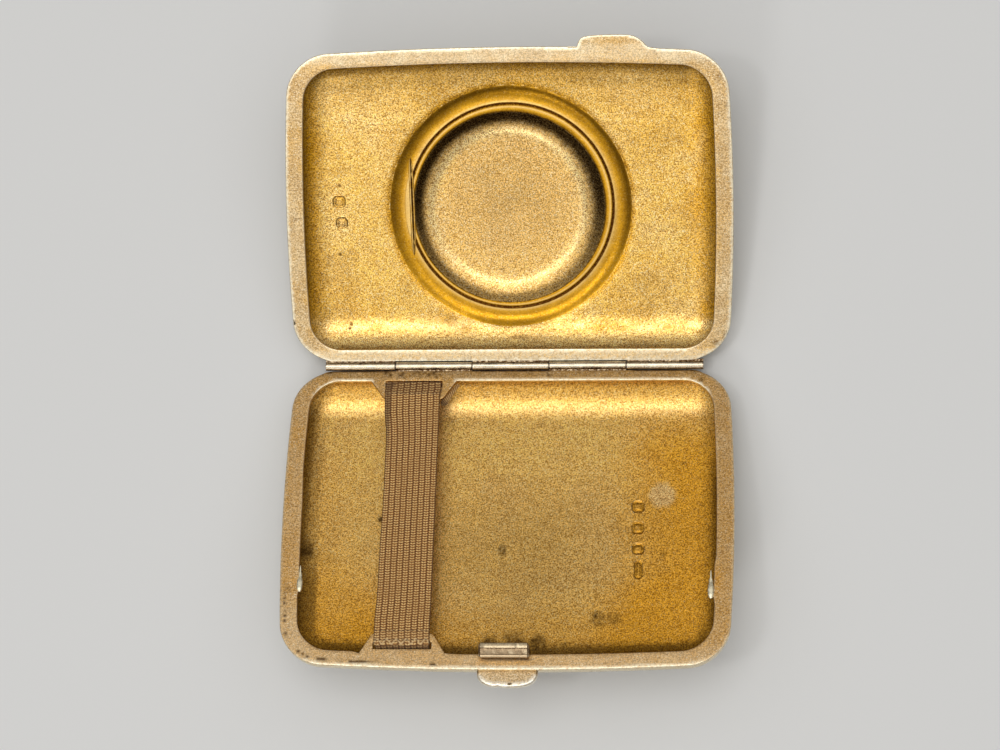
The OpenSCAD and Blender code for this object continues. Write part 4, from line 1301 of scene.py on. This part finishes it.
def solder_drop(name, node, x, v_thin, v_fat, fat):
    """A flattened drop with a thin drawn-out end toward the hinge. fat is its half width."""
    work = Work()
    rings, painted = [], []
    steps, sides, thin = 36, 28, 0.17
    for i in range(steps + 1):
        t = i / steps
        v = v_thin + (v_fat - v_thin) * t
        w = thin + (fat - thin) * (0.5 * ease(0.22, 0.36, t) + 0.5 * ease(0.40, 0.62, t))
        w *= max(1 - max((t - 0.72) / 0.28, 0.0) ** 2.6, 0.0) ** 0.5
        w = max(w * min(1, 0.3 + t * 6), 0.02)
        dome = 0.34 * w / fat
        top = -0.12 + 0.24 * ease(0.35, 0.65, t) - 0.25 * ease(0.85, 1.0, t) - dome
        ring, paint = [], []
        for c, s in circle(1, sides):
            r = w * (1 + 0.10 * drift(v * 1.4, c * 1.2, s)) * abs(c) ** 0.8
            up = dome * abs(s) ** 0.8 if s > 0 else -0.62 * abs(s) ** 0.9 * min(1, w / 0.15)
            ring.append((x + math.copysign(r, c), v, top + up))
            # painted shade on the underside of the drop and a painted highlight on its top
            paint.append((0.6 * ease(0.0, -0.8, s), 0.9 * ease(-0.1, 0.4, s), 0.0))
        rings.append(ring)
        painted.append(paint)
    work.rings(rings, 0, painted)
    close_ends(work, rings, (0.2, 0.5, 0))
    work.finish(name, in_base, [solder], "base", "silver_worn", [node], 70)


solder = worn_silver("solder", (1.0, 0.86, 0.58), (0.95, 0.74, 0.42), rough=(0.42, 0.55),
                     rubbed_and_highlit=(1.0, 0.93, 0.70))
solder_drop("solder_drop_left", "spring_keeper_left", -40.55, 42.6, 48.1, 0.60)
solder_drop("solder_drop_right", "spring_keeper_right", 40.1, 43.6, 49.4, 0.62)

# Cove and seat
# A ring turned from sheet and soldered into the hole of the lid. Its polished cove leads
# down to the seat of the cover. One side has a straight slit for the hinge of the cover.

flange_z, seat_low = -7.25, -8.0
around = 192


def turn(work, profile, side, paint):
    """A form turned about the middle of the cup from a profile of (radius, z)."""
    rings = [[(x, v, z) for x, v in circle(r, around, cup_x, cup_v)] for r, z in profile]
    painted = [[paint(x, v, r, z) for x, v, z in ring] for ring, (r, z) in zip(rings, profile)]
    work.rings(rings, side, painted)


def bare(x, v, r, z):
    return 0.0, 0.0, 0.0


def polished_gilt(name):
    """Burnished deep gilding with turning lines. Painted X is dirt and painted shade, Y rubbed bright and
    painted highlight.
    """
    f = Finish(name)
    cloud = f.grain(0.35, 4.0, 0.65)
    speck = f.grain(3.0, 3.0, 0.75)
    fine = f.grain(6.5, 2.0, 0.7)
    colour = f.blend(f.spread(cloud, 0.35, 0.65), (0.82, 0.415, 0.020), (0.66, 0.325, 0.016))
    colour = f.blend(f.spread(speck, 0.46, 0.70, 0.0, 0.55), colour, (0.34, 0.15, 0.010))
    colour = f.blend(f.spread(f.grain(2.9, 2.0, 0.7), 0.56, 0.70, 0.0, 0.5), colour, (1.0, 0.68, 0.20))
    rubbed_and_highlit = f.compute("MULTIPLY", f.painted[1], f.spread(speck, 0.3, 0.7, 1.1, 0.75))
    colour = f.blend(rubbed_and_highlit, colour, (1.0, 0.69, 0.25))
    soil_and_shade = f.compute("MULTIPLY", f.painted[0], f.spread(speck, 0.3, 0.7, 0.85, 1.15))
    colour = f.blend(soil_and_shade, colour, (0.065, 0.018, 0.002))
    f.relief((cloud, 0.5, 0.12), (speck, 0.5, 0.016), (fine, 0.25, 0.005))
    return f.set(colour, f.spread(speck, 0.3, 0.7, 0.30, 0.42), 1.0)


cove_line = [(cove_r, floor_z + cove_drop_at(cove_r))]
cove_line += [(r, floor_z + drop) for r, drop in (
    (24.2, -0.20), (24.0, -0.275), (23.8, -0.36), (23.55, -0.47), (23.3, -0.565), (23.0, -0.65),
    (22.7, -0.71), (22.4, -0.745), (22.1, -0.76), (21.8, -0.76), (21.5, -0.75), (21.25, -0.735),
    (21.05, -0.725), (20.88, -0.722), (20.72, -0.728), (20.62, -0.745), (20.58, -0.765))]
cove_line += [(20.62, -7.23), (seat_r, -7.235), (seat_r, -7.7)]
seat_under = [(seat_r, -7.7), (seat_r, seat_low + 0.05), (20.85, seat_low), (21.3, seat_low),
              (21.35, seat_low + 0.04), (22.0, -7.72), (22.9, -7.36), (23.6, -7.12), (cove_r, -7.0),
              (cove_r, -6.8), cove_line[0]]


def cove_paint(x, v, r, z):
    """Painted values round the cup: a painted highlight on the lip and the inner part, a dark gutter inside
    it and painted shade on the outer half.
    """
    rear = ease(-2, -16, v - cup_v)
    side = ease(10, 18, abs(x - cup_x))
    r_here = r + 0.25 * drift(x * 0.25, v * 0.25, 3)
    # painted highlight on the lip and the cove's inner part, more at the sides
    lip = max(0.9 * hump(r - 21.12, 0.17) * (z > -7.6), (0.10 + 0.18 * side) * ease(22.3, 21.2, r_here))
    # painted shade on the outer half, less at the rear
    outer_half = 0.10 + 0.42 * ease(21.7, 22.9, r_here) + 0.14 * ease(23.4, 24.2, r)
    soil_and_shade = 0.97 * ease(21.02, 20.86, r) * (z > -7.9) + outer_half * (1 - 0.65 * rear)
    if v < cup_v:
        lines = 0.34 * hump(r - 22.0, 0.22) + 0.26 * hump(r - 22.9, 0.16)
        soil_and_shade = max(soil_and_shade, lines * ease(0, -8, v - cup_v))
    soil_and_shade += 0.2 * ease(0.1, 0.5, drift(x * 0.5, v * 0.5, 11)) * ease(21.6, 21.0, r)
    return min(soil_and_shade, 1), lip, 0.0


seat = Work()
turn(seat, cove_line, 0, cove_paint)
turn(seat, seat_under, 1, bare)
# the ring's outer edge follows the floor where the floor bends up to the walls
rim_of_floor = case_outline(sheet + lid_reach)
lifts = [inner_depth(lid_reach + d, lid_soft)[0] - floor_z
         for d in edge_distance([(x, v) for x, v, z in seat.points], rim_of_floor)]
seat.points = [(x, v, z + lift * ease(22.0, 24.4, from_cup(x, v)) * (z > -7.3))
               for (x, v, z), lift in zip(seat.points, lifts)]
cove_gilt = polished_gilt("burnished_cove")
seat.finish("turned_cove", in_lid, [cove_gilt, outer_skin], "lid", "gilt_frosted", ["cover_seat_ring"], 50)

# Round cover
# A shallow dish stamped from thin sheet, frosted inside. Its flange lies in the seat and its
# steep wall is painted nearly black as painted shade. A nail grip stands out on one side.

dish_floor, cover_t, cut_x = -9.15, 0.45, -19.9
dish_line = [(r, dish_floor + rise) for r, rise in (
    (13.4, 0.0), (14.0, 0.02), (14.5, 0.055), (15.0, 0.115), (15.5, 0.215), (16.0, 0.335), (16.5, 0.475),
    (17.0, 0.64), (17.5, 0.83), (18.0, 1.06), (18.5, 1.33), (18.85, 1.54), (19.15, 1.72))]
dish_line += [(19.32, flange_z - 0.1)]
flange_line = [dish_line[-1], (19.42, flange_z - 0.04), (19.55, flange_z - 0.005)]
flange_line += [(r, flange_z) for r in (19.8, 19.95, 20.08, 20.2, 20.32, 20.45)]
flange_line += [(20.62, flange_z - 0.03), (20.70, flange_z - 0.1), (20.72, flange_z - 0.2)]
cover_under = [flange_line[-1], (20.68, flange_z - cover_t + 0.03), (20.55, flange_z - cover_t),
               (19.7, flange_z - cover_t), (19.3, flange_z - cover_t - 0.2), (18.6, dish_floor + 0.75),
               (17.9, dish_floor + 0.32), (17.2, dish_floor - 0.04), (16.5, dish_floor - 0.28),
               (15.8, dish_floor - cover_t + 0.04), (14.8, dish_floor - cover_t)]
cup_stains = [(6.0, 31.7, 0.3, 0.8), (-1.5, 18.6, 0.35, 0.9), (-8.0, 24.0, 0.25, 0.5)]


def cover_paint(x, v, r, z):
    """Painted values of the dish: painted shade on the wall and on the floor toward the top, and a pale crest
    between them, rubbed smooth and painted as a highlight.
    """
    lower = ease(cup_v + 4, cup_v - 16, v)
    r_here = r + 0.35 * drift(x * 0.9, v * 0.9, 6)
    wall = ease(16.2 + 0.7 * lower, 18.0 + 0.4 * lower, r_here) * ease(19.4, 19.1, r)
    cloud = 0.6 + 0.4 * drift(x * 0.2, v * 0.2, 1)
    # stains, and painted shade: the wall nearly black, less on its lower side, and the floor darker toward
    # the top
    soil_and_shade = max((0.98 - 0.40 * lower) * wall + 0.45 * ease(19.5, 19.35, r) * (1 - wall) * (r > 19),
               stain(cup_stains, x, v), 0.30 * ease(14.5, 8, r) * cloud * (1 - lower),
               0.12 * ease(14.5, 12, r) * ease(-4, 10, v - cup_v))
    # a pale crest, rubbed smooth and painted as a highlight, strongest at the top
    crest = (0.8 + 0.2 * ease(-8, 8, v - cup_v)) * hump(r - 15.4, 0.75)
    return soil_and_shade, 0.95 * ease(19.3, 19.5, r), crest * (1 - 0.6 * wall)


def flange_paint(x, v, r, z):
    soil_and_shade = max(0.85 * ease(19.7, 19.45, r), 0.97 * ease(20.25, 20.4, r), 0.04)
    return soil_and_shade, 0.85 * hump(r - 20.08, 0.13), 0.0


def off_centre(x, v, z):
    """The dish was struck a little toward the cover's hinge and the lid's."""
    r = from_cup(x, v)
    mouth, floor = ease(20.3, 19.3, r), ease(19.3, 16.8, r)
    return x - 0.30 * mouth - 0.42 * floor, v - 0.28 * mouth - 0.08 * floor, z


def cut_straight(x, v, z):
    """The flange is cut off straight where the cover's hinge is."""
    return max(x, cut_x + cup_x) if from_cup(x, v) > 19.4 else x, v, z


def dish_middle(r, z, side, spacing, hollow):
    """The round flat middle of the dish, sunk a little by hollow."""
    points, faces = fill_flat([circle(r, around, cup_x, cup_v)], spacing)
    cover.add([(x, v, z - hollow * (1 - (from_cup(x, v) / r) ** 2)) for x, v in points], faces, side,
              [cover_paint(x, v, from_cup(x, v), z) for x, v in points])


cover = Work()
turn(cover, dish_line, 0, cover_paint)
turn(cover, flange_line, 2, flange_paint)
turn(cover, cover_under, 1, bare)
cover.points = [cut_straight(*p) for p in cover.points]
dish_middle(*dish_line[0], 0, 0.5, 0.03)
dish_middle(*cover_under[-1], 1, 2.0, 0.0)
cover.points = [off_centre(*p) for p in cover.points]
cover_gilt = frosted_gilt("frosted_cup", (0.94, 0.61, 0.195), (0.78, 0.525, 0.20), (0.84, 0.44, 0.045),
                          (1.0, 0.84, 0.50), (0.020, 0.0075, 0.0016), (0.34, 0.5), (1.0, 0.735, 0.34))
cover.finish("dished_cover", in_lid, [cover_gilt, outer_skin, cove_gilt], "cover", "gilt_frosted",
             ["round_cover"], 50)

# Nail grip and the cover's hinge
# A small lip on the cover's free edge for the nail, and opposite it a short three-part hinge
# behind the lid. Its leaf closes the straight side of the round opening.


def grip_loop():
    """A short lip past the edge of the cover, on the side away from its hinge."""
    root, half_root, tip, half_turn, steps = 18.7, 3.0, 21.95, math.radians(8.6), 12
    turns = [(2 * i / steps - 1) * half_turn for i in range(steps + 1)]
    line = [(cup_x + root, cup_v - half_root)]
    line += [(cup_x + tip * math.cos(t), cup_v + tip * math.sin(t)) for t in turns]
    line += [(cup_x + root, cup_v + half_root)]
    return more_points(line, 0.6)


def grip_paint(x, v, outer, inner, z):
    return 0.1, 0.6 * ease(0.4, 0.1, outer), 0.0


grip = Work()
cut_plate(grip, [grip_loop()], seat_low - 0.5, seat_low - 0.12, 0.12, 0.5, grip_paint, 0.0, 0.1, 3)
grip.finish("nail_grip", in_lid, [rim_lid], "cover", "gilt_worn")

slit_lean, over_floor = 0.017, floor_z - 0.715


def leaf_loop():
    """From the straight side of the opening out over the lip of the cove."""
    chord, far, steps = cut_x - 0.2, 21.45, 24
    half = math.sqrt(20.78 ** 2 - chord ** 2)
    top = math.atan2(half, chord) - 0.03
    turns = [top + (2 * math.pi - 2 * top) * i / steps for i in range(steps + 1)]
    line = [(cup_x + far * math.cos(t), cup_v + far * math.sin(t)) for t in turns]
    line += [(cup_x + chord + 0.1, cup_v - half - 0.1), (cup_x + chord - 0.1, cup_v + half + 0.1)]
    return more_points(line, 0.5)


def leaf_paint(x, v, outer, inner, z):
    """Like the cove around it, but bright along the slit and dark at the edge of the opening."""
    beside = cup_x + cut_x - 0.75 - slit_lean * (v - cup_v) - x
    soil_and_shade, lip, _ = cove_paint(x, v, max(from_cup(x, v), 21.2), -7.2)
    bright = 0.85 * ease(1.3, 0.1, beside) * ease(9.6, 5.0, abs(v - cup_v))
    return max(soil_and_shade, 0.9 * ease(0.2, 0.04, outer) * (x > cup_x + cut_x - 0.6)), max(lip, bright), 0.0


leaf = Work()
cut_plate(leaf, [leaf_loop()], flange_z - 0.45, over_floor, 0.06, 0.25, leaf_paint, 0.0, 0.05, 3)
leaf.finish("cover_hinge_leaf", in_lid, [cove_gilt], "lid", "gilt_frosted")

# two low ridges with a dark groove between them, drawn thin toward both ends
ridge = [(-0.72, -0.04), (-0.66, 0.05), (-0.52, 0.13), (-0.36, 0.12), (-0.26, 0.02), (-0.20, -0.02),
         (-0.08, -0.02), (-0.02, 0.02), (0.08, 0.09), (0.20, 0.08), (0.30, 0.0), (0.32, -0.04)]
ridge_dark = [0.8, 0, 0, 0, 0.97, 0.97, 0.97, 0.97, 0, 0, 0, 0.8]
half_slit, slit_steps = 9.9, 120
edge_strip = Work()
rings, painted = [], []
for i in range(slit_steps + 1):
    share = 2 * i / slit_steps - 1
    v = cup_v + half_slit * share
    middle = cup_x + cut_x + 0.12 - slit_lean * (v - cup_v)
    thin = math.sqrt(max(1 - abs(share) ** 4, 0.015))
    ring = []
    for across, up in ridge:
        x = middle - 0.2 + (across + 0.2) * thin
        ground = max(over_floor, over_floor - 0.02 + 0.22 * (from_cup(x, v) - 21.6))
        ring.append((x, v, ground + up * (0.3 + 0.7 * thin)))
    rings.append(ring)
    wear = 0.6 + 0.5 * drift(0.0, v * 0.6, 4.0)
    painted.append([(soil_and_shade, wear if k in (1, 2, 3) else 0.6 * wear, 0.0) for k, soil_and_shade in enumerate(ridge_dark)])
edge_strip.rings(rings, 0, painted)
close_ends(edge_strip, rings, (0, 0.7, 0))
edge_strip.finish("cover_hinge_edge", in_lid, [cove_gilt], "lid", "gilt_frosted", sharp=50)

ear_silver = worn_silver("cover_hinge_silver", (0.82, 0.74, 0.58), (0.50, 0.40, 0.26), True, (0.24, 0.42))
for name in ("cover_ear_front", "cover_ear_rear", "cover_knuckle"):
    dress(name, ear_silver)
